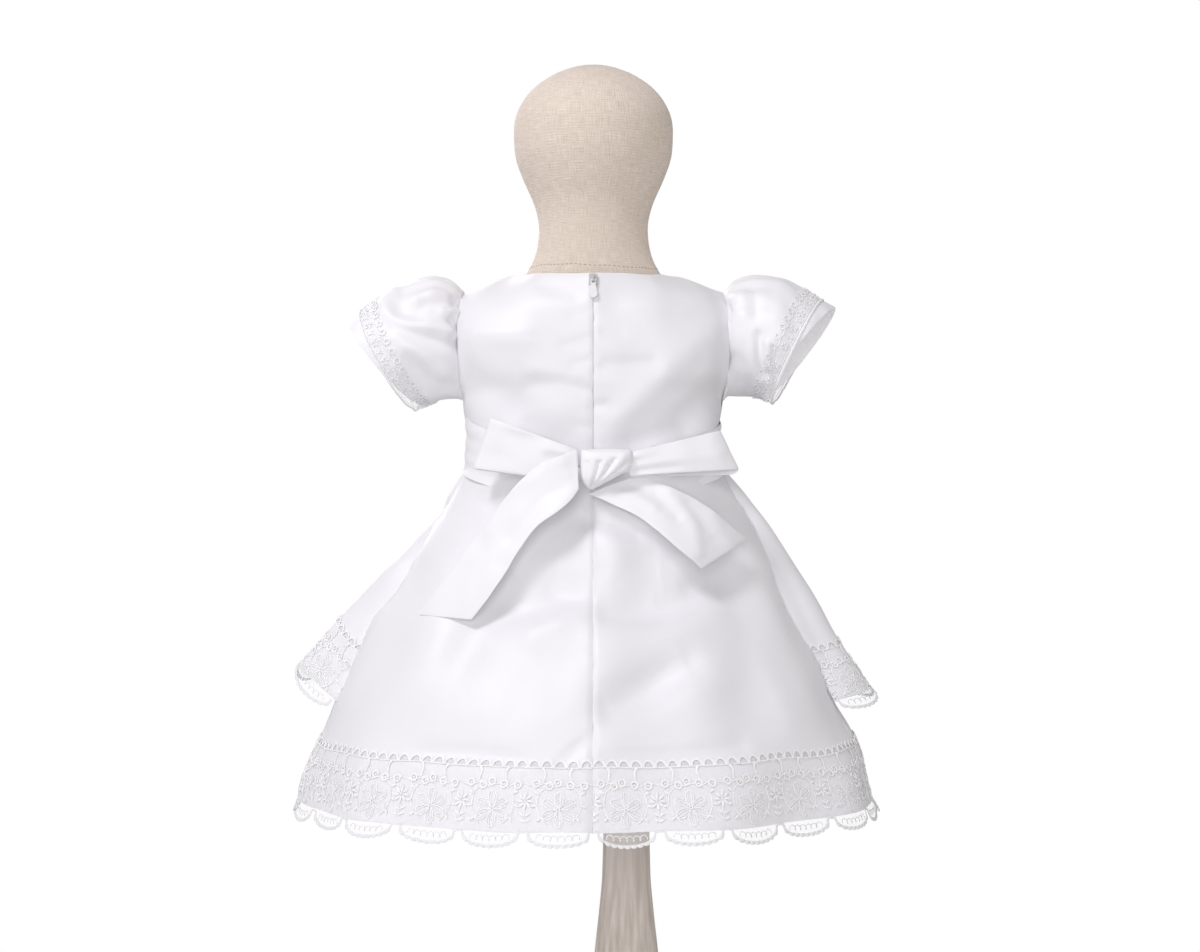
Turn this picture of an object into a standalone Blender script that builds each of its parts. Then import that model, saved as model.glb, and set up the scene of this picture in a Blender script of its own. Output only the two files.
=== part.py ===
"""White satin christening gown on a linen dress form with a turned stand.

Metres, +Z up. The gown's front faces -Y and its zipped back faces +Y. The origin
is the centre of the underside of the stand's round base: the pole stands on the
Z axis, and the form with the gown sits GOWN_X to the +X side of it, as the form's
socket is off its middle. "left" is the +X side, and tables are in millimetres.
"""
from collections import namedtuple
from math import atan2, cos, hypot, pi, radians, sin

import bmesh
import bpy
import numpy
from mathutils import Matrix, Vector

MM = 0.001
GOWN_X = 25 * MM                  # middle of the gown and the form
SEAM_GAP = 0.3 * MM               # between two pieces that are sewn together
LAY_GAP = 0.5 * MM                # between a panel and what lies on it
SATIN = 1.4 * MM                  # thickness of the satin walls
RIBBON = 1.3 * MM                 # thickness of the sash and the bow
LACE = 1.0 * MM                   # thickness of the lace

# ---------------------------------------------------------------- skirt and overskirt
WAIST_Z = 443                     # the waist seam
CORD_Z = 236.5                    # where the hem lace's top cord lies
HEM_Z = 193.5                     # the satin's lower edge
SKIRT_TURN = 72                   # columns all round, from the back seam over +X
SIDE_COLUMN = 16                  # the left side seam, in those columns
FRONT_COLUMN = SKIRT_TURN // 2

# An oval has four half axes, and a squareness: the power of its formula, 2 for an ellipse.
Ring = namedtuple("Ring", "z left right back front squareness")
SKIRT_RINGS = (
    Ring(WAIST_Z, 95, 95, 60.5, 60.5, 2.5),
    Ring(425, 104, 106, 67, 68, 2.3),
    Ring(400, 120, 119, 78, 80, 2.15),
    Ring(350, 151, 141, 101, 103, 2.05),
    Ring(300, 181, 167, 126, 128, 2.0),
    Ring(CORD_Z, 209, 198, 154, 154, 2.0),
    Ring(HEM_Z, 222, 212, 171, 170, 2.0),
)
Fold = namedtuple("Fold", "angle width depth")      # degrees from +X over the back; depth in mm
SKIRT_FOLDS = (
    Fold(25, 8, -3.0), Fold(42, 8, 3.5), Fold(60, 8, -3.0), Fold(76, 7, 2.0),
    Fold(101, 7, -3.0), Fold(116, 8, 3.5), Fold(133, 8, -4.5), Fold(151, 8, 3.5),
    Fold(200, 9, 4.0), Fold(222, 9, -4.0), Fold(246, 9, 4.5), Fold(270, 10, -3.5),
    Fold(294, 9, 4.5), Fold(318, 9, -4.0), Fold(340, 9, 4.0),
)
FOLD_GROWTH = 1.4                 # a fold deepens with this power of the way to the hem

OVER_TOP_Z = 439.5                # the overskirt's upper edge, just below the sash
OVER_CORD = 0.79                  # share of the overskirt's length above its lace's cord
OverRing = namedtuple("OverRing", "share left right front squareness")
OVER_RINGS = (                    # share of the length from the waist to the hem
    OverRing(0.0, 99.5, 100.5, 66.5, 2.5),
    OverRing(0.15, 112.5, 122, 81, 2.3),
    OverRing(0.35, 135, 146, 100, 2.1),
    OverRing(0.57, 165, 166, 120, 2.0),
    OverRing(OVER_CORD, 195, 188, 138, 2.0),
    OverRing(1.0, 221, 210, 155, 2.0),
)
OVER_DROP_SEAM = 172              # height from its top to its hem, at the side seams
Drop = namedtuple("Drop", "angle drop")
OVER_DROPS = (Drop(-180, 163), Drop(-150, 168), Drop(-90, 168), Drop(-30, 168), Drop(0, 143))
OVER_SEAM_COLUMNS = 6             # columns from a side seam to the widest place
OVER_FRONT_COLUMNS = 32
OVER_FOLDS = (
    Fold(-16, 7, 4.0), Fold(-34, 8, -5.0), Fold(-54, 8, 5.0), Fold(-76, 8, -4.5),
    Fold(-98, 8, 5.0), Fold(-120, 8, -5.0), Fold(-141, 8, 4.5), Fold(-162, 7, -3.5),
)

# ---------------------------------------------------------------- lace
HEM_REPEATS = 13                  # lace repeats in each half of the hem
OVER_REPEATS = 14
ARCHES = 5                        # arches of the top edging in one repeat
ARCH_HEIGHT = 5.4 * MM
WINDOW_HEIGHT = 4.3 * MM          # the opening under an arch
WINDOW_SHARES = (0.3, 0.7)        # where its top's corners are, along the arch
CROWN_SHARES = (0.24, 0.76)       # the arch's own corners
FOOT = 1.3 * MM                   # width of the foot between two openings
FOOT_RISE = 1.1 * MM
SCALLOP_DEPTH = 9.5 * MM
SCALLOP_TOP = 2.0 * MM            # how far the lace passes the satin's edge between scallops
SCALLOP_GAP = 0.14                # share of a repeat that is flat between two scallops
SCALLOP_STEPS = 5
SCALLOP_FULLNESS = 0.8            # below 1 is fuller than half an ellipse
LACE_GAP = 0.9 * MM               # from the satin to the lace, which turns with it

# ---------------------------------------------------------------- bodice
ZIP_HALF_GAP = 0.6                # mm from the zip's middle to the edge of a back panel
ARMHOLE_X = 98.5
ARMHOLE_BULGE = 3.5
ARMHOLE_DEPTH = 33
ARMHOLE_Z = 533.5
ARMHOLE_HEIGHT = 41.5             # half of its height
CHEST_Z = 500
BODICE_COLUMNS = 10               # columns in a back panel; the front has twice as many
WaistRing = namedtuple("WaistRing", "z side back front")
WAIST_RINGS = (                   # the bodice below the armholes
    WaistRing(WAIST_Z, 95.5, 61, 61), WaistRing(466, 95, 62, 63), WaistRing(492, 98.5, 64, 66),
)
WAIST_SQUARENESS = 2.5
# A row above goes from the middle over the blade and the corner to the armhole's edge,
# which it meets at this angle from the underarm. The rises are above the row's own z.
Row = namedtuple("Row", "z mid_y blade_x blade_y corner_x corner_y armhole rise_blade rise_corner")
BACK_ROWS = (
    Row(507, 65, 46, 62, 85, 47, 42, 0, -1),
    Row(534, 65, 46, 62.5, 87, 50, 90, 0, 0),
    Row(558, 61.5, 46, 57.5, 85, 43, 128, 1, 1),
    Row(573, 56, 44, 49, 76, 25, 154, 2.5, 4),
    Row(586, 50, 39, 38, 62.5, 0.3, 180, 0.5, 2),
)
FRONT_ROWS = (
    Row(507, 66, 46, 63, 85, 47, 42, 0, -1),
    Row(530, 65, 46, 62.5, 87, 50, 90, 2, 4),
    Row(549, 63, 46, 58.5, 84, 43, 128, 4, 9),
    Row(561, 60, 43, 51, 75, 25, 154, 8, 15),
    Row(571, 56, 39, 41, 62.5, 0.3, 180, 6, 17),
)
ROW_KNOTS = (0, 0.42, 0.74, 1)    # where the middle, blade, corner and edge lie along a row
TAPE_HALF_WIDTH = 8
TAPE_THICKNESS = 1.0 * MM

# ---------------------------------------------------------------- sleeves
SLEEVE_TURN = 32                  # columns round a sleeve, from the underarm over the back
Station = namedtuple("Station", "top_x top_z low_x low_z depth gather")
LEFT_SLEEVE = (
    Station(108, 583, 104, 494.5, 38, 1.0),
    Station(123, 587, 109, 494.5, 43, 0.75),
    Station(145, 580.5, 116, 493.5, 46, 0.35),
    Station(166, 568, 123, 491, 47, 0.1),
    Station(182.5, 555.5, 130, 489, 47, 0),
)
RIGHT_SLEEVE = (
    Station(107, 583, 103, 496.5, 38, 1.0),
    Station(123, 587.5, 109, 496, 43, 0.75),
    Station(144, 585.5, 116, 496, 46, 0.35),
    Station(165, 575, 123, 495.5, 47, 0.1),
    Station(184, 564, 130, 494, 47, 0),
)
LEFT_YAW = -0.18                 # how far the hem's front side stands out, per mm of depth
RIGHT_YAW = 0.19
GATHERS = 9                       # pleats round a sleeve's cap
GATHER_DEPTH = 1.7
GATHER_SPREAD = 1.6               # how much closer the pleats lie than if they went all round
SLEEVE_SCALLOPS = 16
LaceRow = namedtuple("LaceRow", "rise scallop")
SLEEVE_LACE = (LaceRow(1.5, 0), LaceRow(9, 0), LaceRow(18, 2.2))    # mm up the sleeve from its hem

# ---------------------------------------------------------------- sash and bow
SASH_HALF_TURN = 16               # columns of the sash in half of the back
Edge = namedtuple("Edge", "angle low high")          # degrees from the back's middle, heights in mm
SASH_LEFT = (Edge(9, 424, 456), Edge(30, 425.5, 463), Edge(60, 434, 475), Edge(80, 440.2, 481))
SASH_RIGHT = (Edge(24, 425.5, 458), Edge(40, 428, 463), Edge(60, 434, 470), Edge(80, 440.2, 476))
SASH_FRONT = (Edge(80.3, 440.2, 480), Edge(130, 441, 482), Edge(179.8, 441, 482))

Corner = namedtuple("Corner", "x y z")
Loop = namedtuple("Loop", "root_high root_low end_high end_low puff")
LEFT_LOOP = Loop(Corner(11, 80, 455), Corner(11, 80, 431),
                 Corner(76, 69, 478.5), Corner(89, 68, 442), 9)
RIGHT_LOOP = Loop(Corner(-30.5, 79, 453), Corner(-30.5, 79, 437),
                  Corner(-94, 65, 469.5), Corner(-108, 64, 441), 9)
LOOP_COLUMNS = 18
LOOP_ROOT_PUFF = 0.35             # share of a loop's puff that it has at its root
RIBBON_SHARES = (1, 0.67, 0.33, 0)                   # rows across a ribbon, from its upper edge
LOOP_START = radians(16)          # where the loop leaves the knot, on its full turn
KNOT_Y = 79.5                     # depth of the knot's middle
KnotRing = namedtuple("KnotRing", "z left right half_depth")
KNOT_RINGS = (
    KnotRing(426, 3, 0, 4), KnotRing(430, 6.5, -7, 7.5), KnotRing(436, 8.8, -18, 10),
    KnotRing(441, 9.3, -26, 10.8), KnotRing(448, 9.3, -28.3, 11), KnotRing(453, 9.3, -28.3, 9),
    KnotRing(455, 8, -27, 5),
)
KNOT_TURN = 16                    # corners round the knot
KNOT_SQUARENESS = 3.2

TailStep = namedtuple("TailStep", "high_x high_z low_x low_z stand")
LEFT_TAIL = (
    TailStep(11.5, 455, 10, 427, 25),
    TailStep(25, 450, 15, 420, 27),
    TailStep(38, 445, 25, 411, 28),
    TailStep(54, 431, 41, 400, 26),
    TailStep(76, 404, 55, 380, 20),
    TailStep(104, 367, 70, 356, 14),
    TailStep(127, 336, 87, 333.5, 5),
)
RIGHT_TAIL = (
    TailStep(-33, 438, 3, 423, 10),
    TailStep(-42, 434, -14, 416, 12),
    TailStep(-53, 429, -33, 407, 15),
    TailStep(-74, 420, -51, 393, 19),
    TailStep(-94, 405, -65, 381, 21),
    TailStep(-113, 390, -78, 370, 18),
)
TAIL_COLUMNS = 10
HALVINGS = 30                     # of the angle, when the gown's back is found at a place across

# ---------------------------------------------------------------- zip
ZIP_LOW_Z = 562                   # where the pull's tip lies
ZIP_HIGH_Z = 585.5                # the slider's top
SLIDER_Z = 580
SLIDER_LIFT = 1.0 * MM            # from the cloth to the slider's underside
SLIDER_SIZE = Vector((6.0, 1.6, 9.0)) * MM
BRIDGE_WIDTH = 1.4 * MM
BRIDGE_RISE = 2.6 * MM
BRIDGE_BAR = 0.8 * MM
BRIDGE_LENGTH = 6.4 * MM
PULL_LENGTH = 15.0 * MM
PULL_TOP = 3.6 * MM
PULL_WIDTH = 6.4 * MM
PULL_THICKNESS = 1.1 * MM
PULL_BAR = 0.9 * MM
PULL_STEP = 20                    # degrees between the corners of its round end
PULL_EYE = Vector((2.2, 0, 2.4)) * MM
PIVOT_DROP = 1.0 * MM             # the pull's pivot, below the slider's middle

# ---------------------------------------------------------------- dress form and stand
FormRing = namedtuple("FormRing", "z half_width half_depth")
FORM_RINGS = (
    FormRing(360, 72, 50), FormRing(368, 83, 58), FormRing(395, 88, 60), FormRing(443, 85, 54),
    FormRing(490, 88, 56), FormRing(535, 90, 56), FormRing(558, 84, 50),
    FormRing(571, 71, 43), FormRing(581, 57, 38), FormRing(592, 49, 36.5), FormRing(606, 43, 36),
    FormRing(625, 41, 38), FormRing(641, 44.5, 42), FormRing(660, 53, 52), FormRing(682, 60, 61),
    FormRing(702, 60.5, 63), FormRing(722, 52.5, 55), FormRing(736, 38, 40), FormRing(745, 18, 19),
)
FORM_TOP_Z = 747
FORM_SIDES = 20
TurnStep = namedtuple("TurnStep", "z radius")
POLE_STEPS = (
    TurnStep(18.3, 34), TurnStep(24, 33), TurnStep(31, 28), TurnStep(55, 25.8), TurnStep(78, 23.8),
    TurnStep(105, 20.8), TurnStep(135, 18.3), TurnStep(230, 16.5), TurnStep(359.6, 14),
)
BASE_STEPS = (TurnStep(0, 109), TurnStep(2, 110), TurnStep(13, 110), TurnStep(18, 103))
TURN_SIDES = 24

# ---------------------------------------------------------------- finishes
Finish = namedtuple("Finish", "colour roughness metallic")
WHITE_SATIN = Finish((0.93, 0.93, 0.94), 0.34, 0.0)
WHITE_LACE = Finish((0.95, 0.95, 0.95), 0.75, 0.0)
WHITE_TAPE = Finish((0.92, 0.92, 0.92), 0.8, 0.0)
WHITE_PULL = Finish((0.90, 0.90, 0.90), 0.3, 0.0)
ZIP_METAL = Finish((0.62, 0.62, 0.63), 0.3, 1.0)
LINEN = Finish((0.80, 0.70, 0.59), 0.9, 0.0)
PALE_WOOD = Finish((0.50, 0.43, 0.37), 0.5, 0.0)
FINISHES = {}


def finish(name, look):
    """One Principled material for each finish, shared by the pieces that have it."""
    if name not in FINISHES:
        material = bpy.data.materials.new(name)
        material.use_nodes = True
        shader = material.node_tree.nodes["Principled BSDF"]
        shader.inputs["Base Color"].default_value = (*look.colour, 1)
        shader.inputs["Roughness"].default_value = look.roughness
        shader.inputs["Metallic"].default_value = look.metallic
        FINISHES[name] = material
    return FINISHES[name]


def add_object(name, mesh, material, parent=None):
    """Put a finished mesh in the scene as the node of that name."""
    mesh.materials.append(material)
    mesh.shade_smooth()
    mesh.set_sharp_from_angle(angle=radians(40))
    piece = bpy.data.objects.new(name, mesh)
    bpy.context.collection.objects.link(piece)
    piece.parent = parent
    return piece


def mesh_from(name, points, faces):
    """A mesh from points and faces, its faces turned to point out."""
    mesh = bpy.data.meshes.new(name)
    mesh.from_pydata([tuple(point) for point in points], [], faces)
    shape = bmesh.new()
    shape.from_mesh(mesh)
    bmesh.ops.recalc_face_normals(shape, faces=shape.faces)
    shape.to_mesh(mesh)
    shape.free()
    return mesh


# ---------------------------------------------------------------- curves through a table
def smooth(knots, values, at):
    """A cubic through the values that never overshoots them (Fritsch and Carlson)."""
    knots, values = numpy.asarray(knots, float), numpy.asarray(values, float)
    steps = numpy.diff(knots)
    slopes = numpy.diff(values) / steps
    inner = numpy.where(slopes[:-1] * slopes[1:] > 0, 2 * slopes[:-1] * slopes[1:]
                        / numpy.where(slopes[:-1] * slopes[1:] > 0, slopes[:-1] + slopes[1:], 1), 0)
    tangents = numpy.concatenate(([slopes[0]], inner, [slopes[-1]]))
    place = int(numpy.clip(numpy.searchsorted(knots, at) - 1, 0, len(steps) - 1))
    step = steps[place]
    share = (at - knots[place]) / step
    if not 0 <= share <= 1:
        nearest = min(max(share, 0), 1)
        side = place + int(nearest)
        return values[side] + tangents[side] * step * (share - nearest)
    return (values[place] * (1 + 2 * share) * (1 - share) ** 2
            + tangents[place] * step * share * (1 - share) ** 2
            + values[place + 1] * share ** 2 * (3 - 2 * share)
            - tangents[place + 1] * step * share ** 2 * (1 - share))


def column_of(table, knot, column, at):
    """The smooth value of one of a table's columns at a value of its knot column."""
    rows = sorted(table, key=lambda row: getattr(row, knot))
    return smooth([getattr(row, knot) for row in rows], [getattr(row, column) for row in rows], at)


# ---------------------------------------------------------------- walls of cloth
def grid_normals(grid, closed):
    """Unit normals of a grid of points, on the side of (columns x rows)."""
    if closed:
        along = numpy.roll(grid, -1, axis=1) - numpy.roll(grid, 1, axis=1)
    else:
        along = numpy.gradient(grid, axis=1)
    across = numpy.gradient(grid, axis=0)
    normals = numpy.cross(along, across)
    return normals / numpy.linalg.norm(normals, axis=2, keepdims=True)


def facing(grid, normals, centre):
    """The normals, turned to the side that is away from a centre."""
    away = ((grid - numpy.array(centre)) * normals).sum()
    return normals if away > 0 else -normals


def wall(name, grid, normals, low, high, material, closed=False, limit=None):
    """A closed wall between two copies of a grid, moved along its normals.

    limit is a function that keeps the points on the wall's own side of its seams.
    """
    rows, columns = grid.shape[:2]
    points = numpy.concatenate([(grid + normals * lift).reshape(-1, 3) for lift in (high, low)])
    if limit:
        points = limit(points)
    inner = rows * columns
    turn = columns if closed else columns - 1
    faces = []
    for row in range(rows - 1):
        for column in range(turn):
            after = (column + 1) % columns
            quad = [row * columns + column, row * columns + after,
                    (row + 1) * columns + after, (row + 1) * columns + column]
            faces += [quad, [inner + corner for corner in reversed(quad)]]
    rim = [(row * columns + column, row * columns + (column + 1) % columns)
           for row in (0, rows - 1) for column in range(turn)]
    if not closed:
        rim += [(row * columns + column, (row + 1) * columns + column)
                for column in (0, columns - 1) for row in range(rows - 1)]
    faces += [[start, end, inner + end, inner + start] for start, end in rim]
    return add_object(name, mesh_from(name, points, faces), material)


def trimmed(grid, start, end):
    """The grid with its first and last columns pulled in by these lengths."""
    result = grid.copy()
    for edge, neighbour, length in ((0, 1, start), (-1, -2, end)):
        step = grid[:, neighbour] - grid[:, edge]
        reach = numpy.linalg.norm(step, axis=1, keepdims=True)
        result[:, edge] = grid[:, edge] + step * length / reach
    return result


# ---------------------------------------------------------------- skirt
def folds_at(folds, angle):
    """How far the folds stand out at an angle in degrees, where they are deepest, in mm."""
    total = 0
    for fold in folds:
        apart = (angle - fold.angle + 180) % 360 - 180
        total += fold.depth * numpy.exp(-(apart / fold.width) ** 2)
    return total


def oval(angle, left, right, back, front, squareness):
    """A point of an oval with four half axes, at an angle in degrees from +X over the back."""
    across, deep = cos(radians(angle)), sin(radians(angle))
    reach = (abs(across) ** squareness + abs(deep) ** squareness) ** (1 / squareness)
    wide = left if across > 0 else right
    long = back if deep > 0 else front
    return numpy.array([across * wide, deep * long]) / reach


def skirt_point(angle, height):
    """A point of the skirt's outer side, in mm from the gown's middle."""
    place = oval(angle, *(column_of(SKIRT_RINGS, "z", field, height) for field in Ring._fields[1:]))
    share = max(0, (WAIST_Z - height) / (WAIST_Z - HEM_Z))
    place += place / hypot(*place) * folds_at(SKIRT_FOLDS, angle) * share ** FOLD_GROWTH
    return numpy.array([place[0], place[1], height])


def to_metres(grid):
    """Millimetres from the gown's middle into the model's frame."""
    return numpy.array(grid, float) * MM + numpy.array([GOWN_X, 0, 0])


def skirt_grid():
    """The skirt's outer side, a row for each ring and a column for each step of the turn."""
    heights = [WAIST_Z - SEAM_GAP / MM / 2, *[ring.z for ring in SKIRT_RINGS[1:]]]
    angles = [90 - 360 * column / SKIRT_TURN for column in range(SKIRT_TURN + 1)]
    return to_metres([[skirt_point(angle, height) for angle in angles] for height in heights])


def skirt():
    """The skirt's front and its two backs, and the grid that its lace is laid on."""
    grid = skirt_grid()
    normals = facing(grid, grid_normals(grid, False), (GOWN_X, 0, WAIST_Z * MM))
    normals[:, 0] = normals[:, -1] = (normals[:, 0] + normals[:, -1]) / 2
    satin = finish("white_satin", WHITE_SATIN)
    pieces = (("skirt_back_left", 0, SIDE_COLUMN),
              ("skirt_front", SIDE_COLUMN, SKIRT_TURN - SIDE_COLUMN),
              ("skirt_back_right", SKIRT_TURN - SIDE_COLUMN, SKIRT_TURN))
    for name, first, last in pieces:
        part = trimmed(grid[:, first:last + 1], SEAM_GAP / 2, SEAM_GAP / 2)
        wall(name, part, normals[:, first:last + 1], -SATIN, 0, satin)
    return grid, normals


# ---------------------------------------------------------------- overskirt
def over_drop(angle):
    """The height from the overskirt's top to its hem at an angle over the front, in mm."""
    return column_of(OVER_DROPS, "angle", "drop", angle)


def over_front_point(angle, share):
    """A point of the overskirt's outer side before the widest places, in mm."""
    left, right, front, squareness = (column_of(OVER_RINGS, "share", field, share)
                                      for field in OverRing._fields[1:])
    place = oval(angle, left, right, front, front, squareness)
    place += place / hypot(*place) * folds_at(OVER_FOLDS, angle) * share ** FOLD_GROWTH
    return numpy.array([*place, OVER_TOP_Z - share * over_drop(angle)])


def over_side_point(side, turn, share):
    """A point between the widest place (turn 0) and the side seam (turn 1), in mm."""
    widest_angle = 0 if side > 0 else -180
    seam_angle = 90 - side * (360 / SKIRT_TURN) * SIDE_COLUMN
    widest = over_front_point(widest_angle, share)
    drop = over_drop(widest_angle)
    height = OVER_TOP_Z - share * (drop + (OVER_DROP_SEAM - drop) * turn)
    seam = skirt_point(seam_angle, height)
    stand = (SATIN + 2 * LAY_GAP) / MM
    seam += numpy.array([side * stand, stand / 2, 0])
    bend = turn * pi / 2
    return numpy.array([seam[0] + (widest[0] - seam[0]) * cos(bend), seam[1] * sin(bend), height])


def over_grid():
    """The overskirt's outer side, from the left side seam over the front to the right one."""
    shares = [ring.share for ring in OVER_RINGS]
    turns = [1 - step / OVER_SEAM_COLUMNS for step in range(OVER_SEAM_COLUMNS)]
    angles = [-180 * step / OVER_FRONT_COLUMNS for step in range(OVER_FRONT_COLUMNS + 1)]
    return to_metres([[*(over_side_point(1, turn, share) for turn in turns),
                       *(over_front_point(angle, share) for angle in angles),
                       *(over_side_point(-1, turn, share) for turn in reversed(turns))]
                      for share in shares])


def overskirt():
    """The overskirt, and the grid that its lace is laid on."""
    grid = over_grid()
    normals = facing(grid, grid_normals(grid, False), (GOWN_X, 0, WAIST_Z * MM))
    wall("overskirt", grid, normals, -SATIN, 0, finish("white_satin", WHITE_SATIN))
    return grid, normals


# ---------------------------------------------------------------- lace
def laid(grid, normals, first_row, run, drop, lift):
    """A point laid on the last rows of a grid, run (0 to 1) along it and drop below first_row."""
    upper, lower = grid[first_row], grid[-1]
    lengths = numpy.concatenate(([0], numpy.cumsum(numpy.linalg.norm(numpy.diff(lower, axis=0), axis=1))))
    column = numpy.interp(run * lengths[-1], lengths, range(len(lengths)))
    before = min(int(column), len(lengths) - 2)
    share = column - before
    top = upper[before] * (1 - share) + upper[before + 1] * share
    low = lower[before] * (1 - share) + lower[before + 1] * share
    out = normals[-1, before] * (1 - share) + normals[-1, before + 1] * share
    down = low - top
    return top + down * drop / numpy.linalg.norm(down) + out / numpy.linalg.norm(out) * lift


def strip(upper, lower, points):
    """Triangles between two rows of points that both run the same way."""
    faces = []
    high = low = 0
    while high < len(upper) - 1 or low < len(lower) - 1:
        high_next = points[upper[high + 1]][0] if high < len(upper) - 1 else float("inf")
        low_next = points[lower[low + 1]][0] if low < len(lower) - 1 else float("inf")
        if high_next <= low_next:
            faces.append([upper[high], lower[low], upper[high + 1]])
            high += 1
        else:
            faces.append([upper[high], lower[low], lower[low + 1]])
            low += 1
    return faces


def lace_pattern(repeats, length, band):
    """The flat lace as points (run, drop) and faces: arches with openings, a band and scallops."""
    points, faces, top_row, low_row = [], [], [], []

    def point(run, drop):
        points.append((run, drop))
        return len(points) - 1

    arches = repeats * ARCHES
    pitch = length / arches
    feet = [point(index * pitch, -FOOT_RISE) for index in range(arches + 1)]
    top_row.append(point(0, 0))
    for index in range(arches):
        start = index * pitch
        left, right = point(start + FOOT / 2, 0), point(start + pitch - FOOT / 2, 0)
        window = [point(start + pitch * share, -WINDOW_HEIGHT) for share in WINDOW_SHARES]
        crown = [point(start + pitch * share, -ARCH_HEIGHT) for share in CROWN_SHARES]
        faces.append([top_row[-1], left, feet[index]])
        faces.append([left, window[0], crown[0], feet[index]])
        faces.append([window[0], window[1], crown[1], crown[0]])
        faces.append([window[1], right, feet[index + 1], crown[1]])
        top_row += [left, right]
    top_row.append(point(length, 0))
    faces.append([top_row[-2], top_row[-1], feet[-1]])

    repeat = length / repeats
    for index in range(repeats):
        middle = (index + 0.5) * repeat
        half = repeat * (1 - SCALLOP_GAP) / 2
        low_row.append(point(index * repeat, band + SCALLOP_TOP))
        for step in range(SCALLOP_STEPS + 1):
            turn = pi * step / SCALLOP_STEPS
            hang = SCALLOP_TOP + SCALLOP_DEPTH * sin(turn) ** SCALLOP_FULLNESS
            low_row.append(point(middle - half * cos(turn), band + hang))
    low_row.append(point(length, band + SCALLOP_TOP))
    return points, faces + strip(top_row, low_row, points)


def plate(name, points, faces, place, low, high, material):
    """A closed plate: the flat pattern at two lifts, with walls along its free edges."""
    count = len(points)
    placed = [place(run, drop, lift) for lift in (high, low) for run, drop in points]
    uses = {}
    for face in faces:
        for start, end in zip(face, face[1:] + face[:1]):
            uses.setdefault(frozenset((start, end)), []).append((start, end))
    solid = faces + [[count + corner for corner in reversed(face)] for face in faces]
    solid += [[start, end, count + end, count + start]
              for edge in uses.values() if len(edge) == 1 for start, end in edge]
    return add_object(name, mesh_from(name, placed, solid), material)


def lace(name, grid, normals, first_row, repeats):
    """A stretch of lace on the last rows of a panel's grid."""
    length = numpy.linalg.norm(numpy.diff(grid[-1], axis=0), axis=1).sum()
    band = numpy.linalg.norm(grid[-1] - grid[first_row], axis=1).mean()
    points, faces = lace_pattern(repeats, length, band)
    inset = SEAM_GAP / length

    def place(run, drop, lift):
        return laid(grid, normals, first_row, inset + run / length * (1 - 2 * inset), drop, lift)

    plate(name, points, faces, place, LACE_GAP, LACE_GAP + LACE, finish("white_lace", WHITE_LACE))


def laces(skirt_side, skirt_normals, over_side, over_normals):
    """The lace on the hem, in two halves that meet at the back seam, and the overskirt's."""
    cord_row = len(SKIRT_RINGS) - 2
    halves = (("hem_lace_left", 0, FRONT_COLUMN), ("hem_lace_right", FRONT_COLUMN, SKIRT_TURN))
    for name, first, last in halves:
        lace(name, skirt_side[:, first:last + 1], skirt_normals[:, first:last + 1], cord_row,
             HEM_REPEATS)
    lace("overskirt_lace", over_side, over_normals, len(OVER_RINGS) - 2, OVER_REPEATS)


# ---------------------------------------------------------------- bodice
def armhole(angle, side):
    """The armhole's edge in mm: angle in degrees from the underarm, over the back if above 0."""
    turn = radians(angle)
    return numpy.array([side * (ARMHOLE_X + ARMHOLE_BULGE * abs(sin(turn))),
                        ARMHOLE_DEPTH * sin(turn), ARMHOLE_Z - ARMHOLE_HEIGHT * cos(turn)])


def waist_oval(angle, height):
    """A point of the bodice below the armholes, in mm, at an angle from +X over the back."""
    across, back, front = (column_of(WAIST_RINGS, "z", field, height) for field in WaistRing._fields[1:])
    return numpy.array([*oval(angle, across, across, back, front, WAIST_SQUARENESS), height])


def bodice_row(row, face, side, shares):
    """Points along a row of the bodice: face is +1 for the back and -1 for the front."""
    knots = numpy.array([
        [0, face * row.mid_y, row.z],
        [side * row.blade_x, face * row.blade_y, row.z + row.rise_blade],
        [side * row.corner_x, face * row.corner_y, row.z + row.rise_corner],
        armhole(face * row.armhole, side),
    ])
    return [[smooth(ROW_KNOTS, knots[:, axis], share) for axis in range(3)] for share in shares]


def bodice_grid(rows, face, side):
    """A quarter of the bodice's outer side, from its middle to the side seam and armhole."""
    shares = [column / BODICE_COLUMNS for column in range(BODICE_COLUMNS + 1)]
    lower = [[waist_oval(90 * face * (1 - side * share), ring.z) for share in shares]
             for ring in WAIST_RINGS]
    return lower + [bodice_row(row, face, side, shares) for row in rows]


def bodice():
    """The bodice's two backs, which leave the zip's gap, and its front."""
    satin = finish("white_satin", WHITE_SATIN)
    centre = (GOWN_X, 0, CHEST_Z * MM)
    backs = []

    def back_limit(side):
        edge = GOWN_X + side * ZIP_HALF_GAP * MM
        clamp = numpy.maximum if side > 0 else numpy.minimum

        def limit(points):
            across, deep, height = points.T
            return numpy.stack([clamp(across, edge), numpy.maximum(deep, SEAM_GAP), height], axis=1)

        return limit

    def front_limit(points):
        across, deep, height = points.T
        return numpy.stack([across, numpy.minimum(deep, -SEAM_GAP), height], axis=1)

    for name, side in (("bodice_back_left", 1), ("bodice_back_right", -1)):
        grid = to_metres(bodice_grid(BACK_ROWS, 1, side))
        normals = facing(grid, grid_normals(grid, False), centre)
        wall(name, grid, normals, -SATIN, 0, satin, limit=back_limit(side))
        backs.append((grid, normals))
    grid = to_metres([left[:0:-1] + right for left, right in zip(bodice_grid(FRONT_ROWS, -1, 1),
                                                                 bodice_grid(FRONT_ROWS, -1, -1))])
    normals = facing(grid, grid_normals(grid, False), centre)
    wall("bodice_front", grid, normals, -SATIN, 0, satin, limit=front_limit)
    return backs


def back_middle(height):
    """The depth of the bodice's back at its middle, in mm."""
    return smooth([row.z for row in BACK_ROWS], [row.mid_y for row in BACK_ROWS], height)


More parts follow.
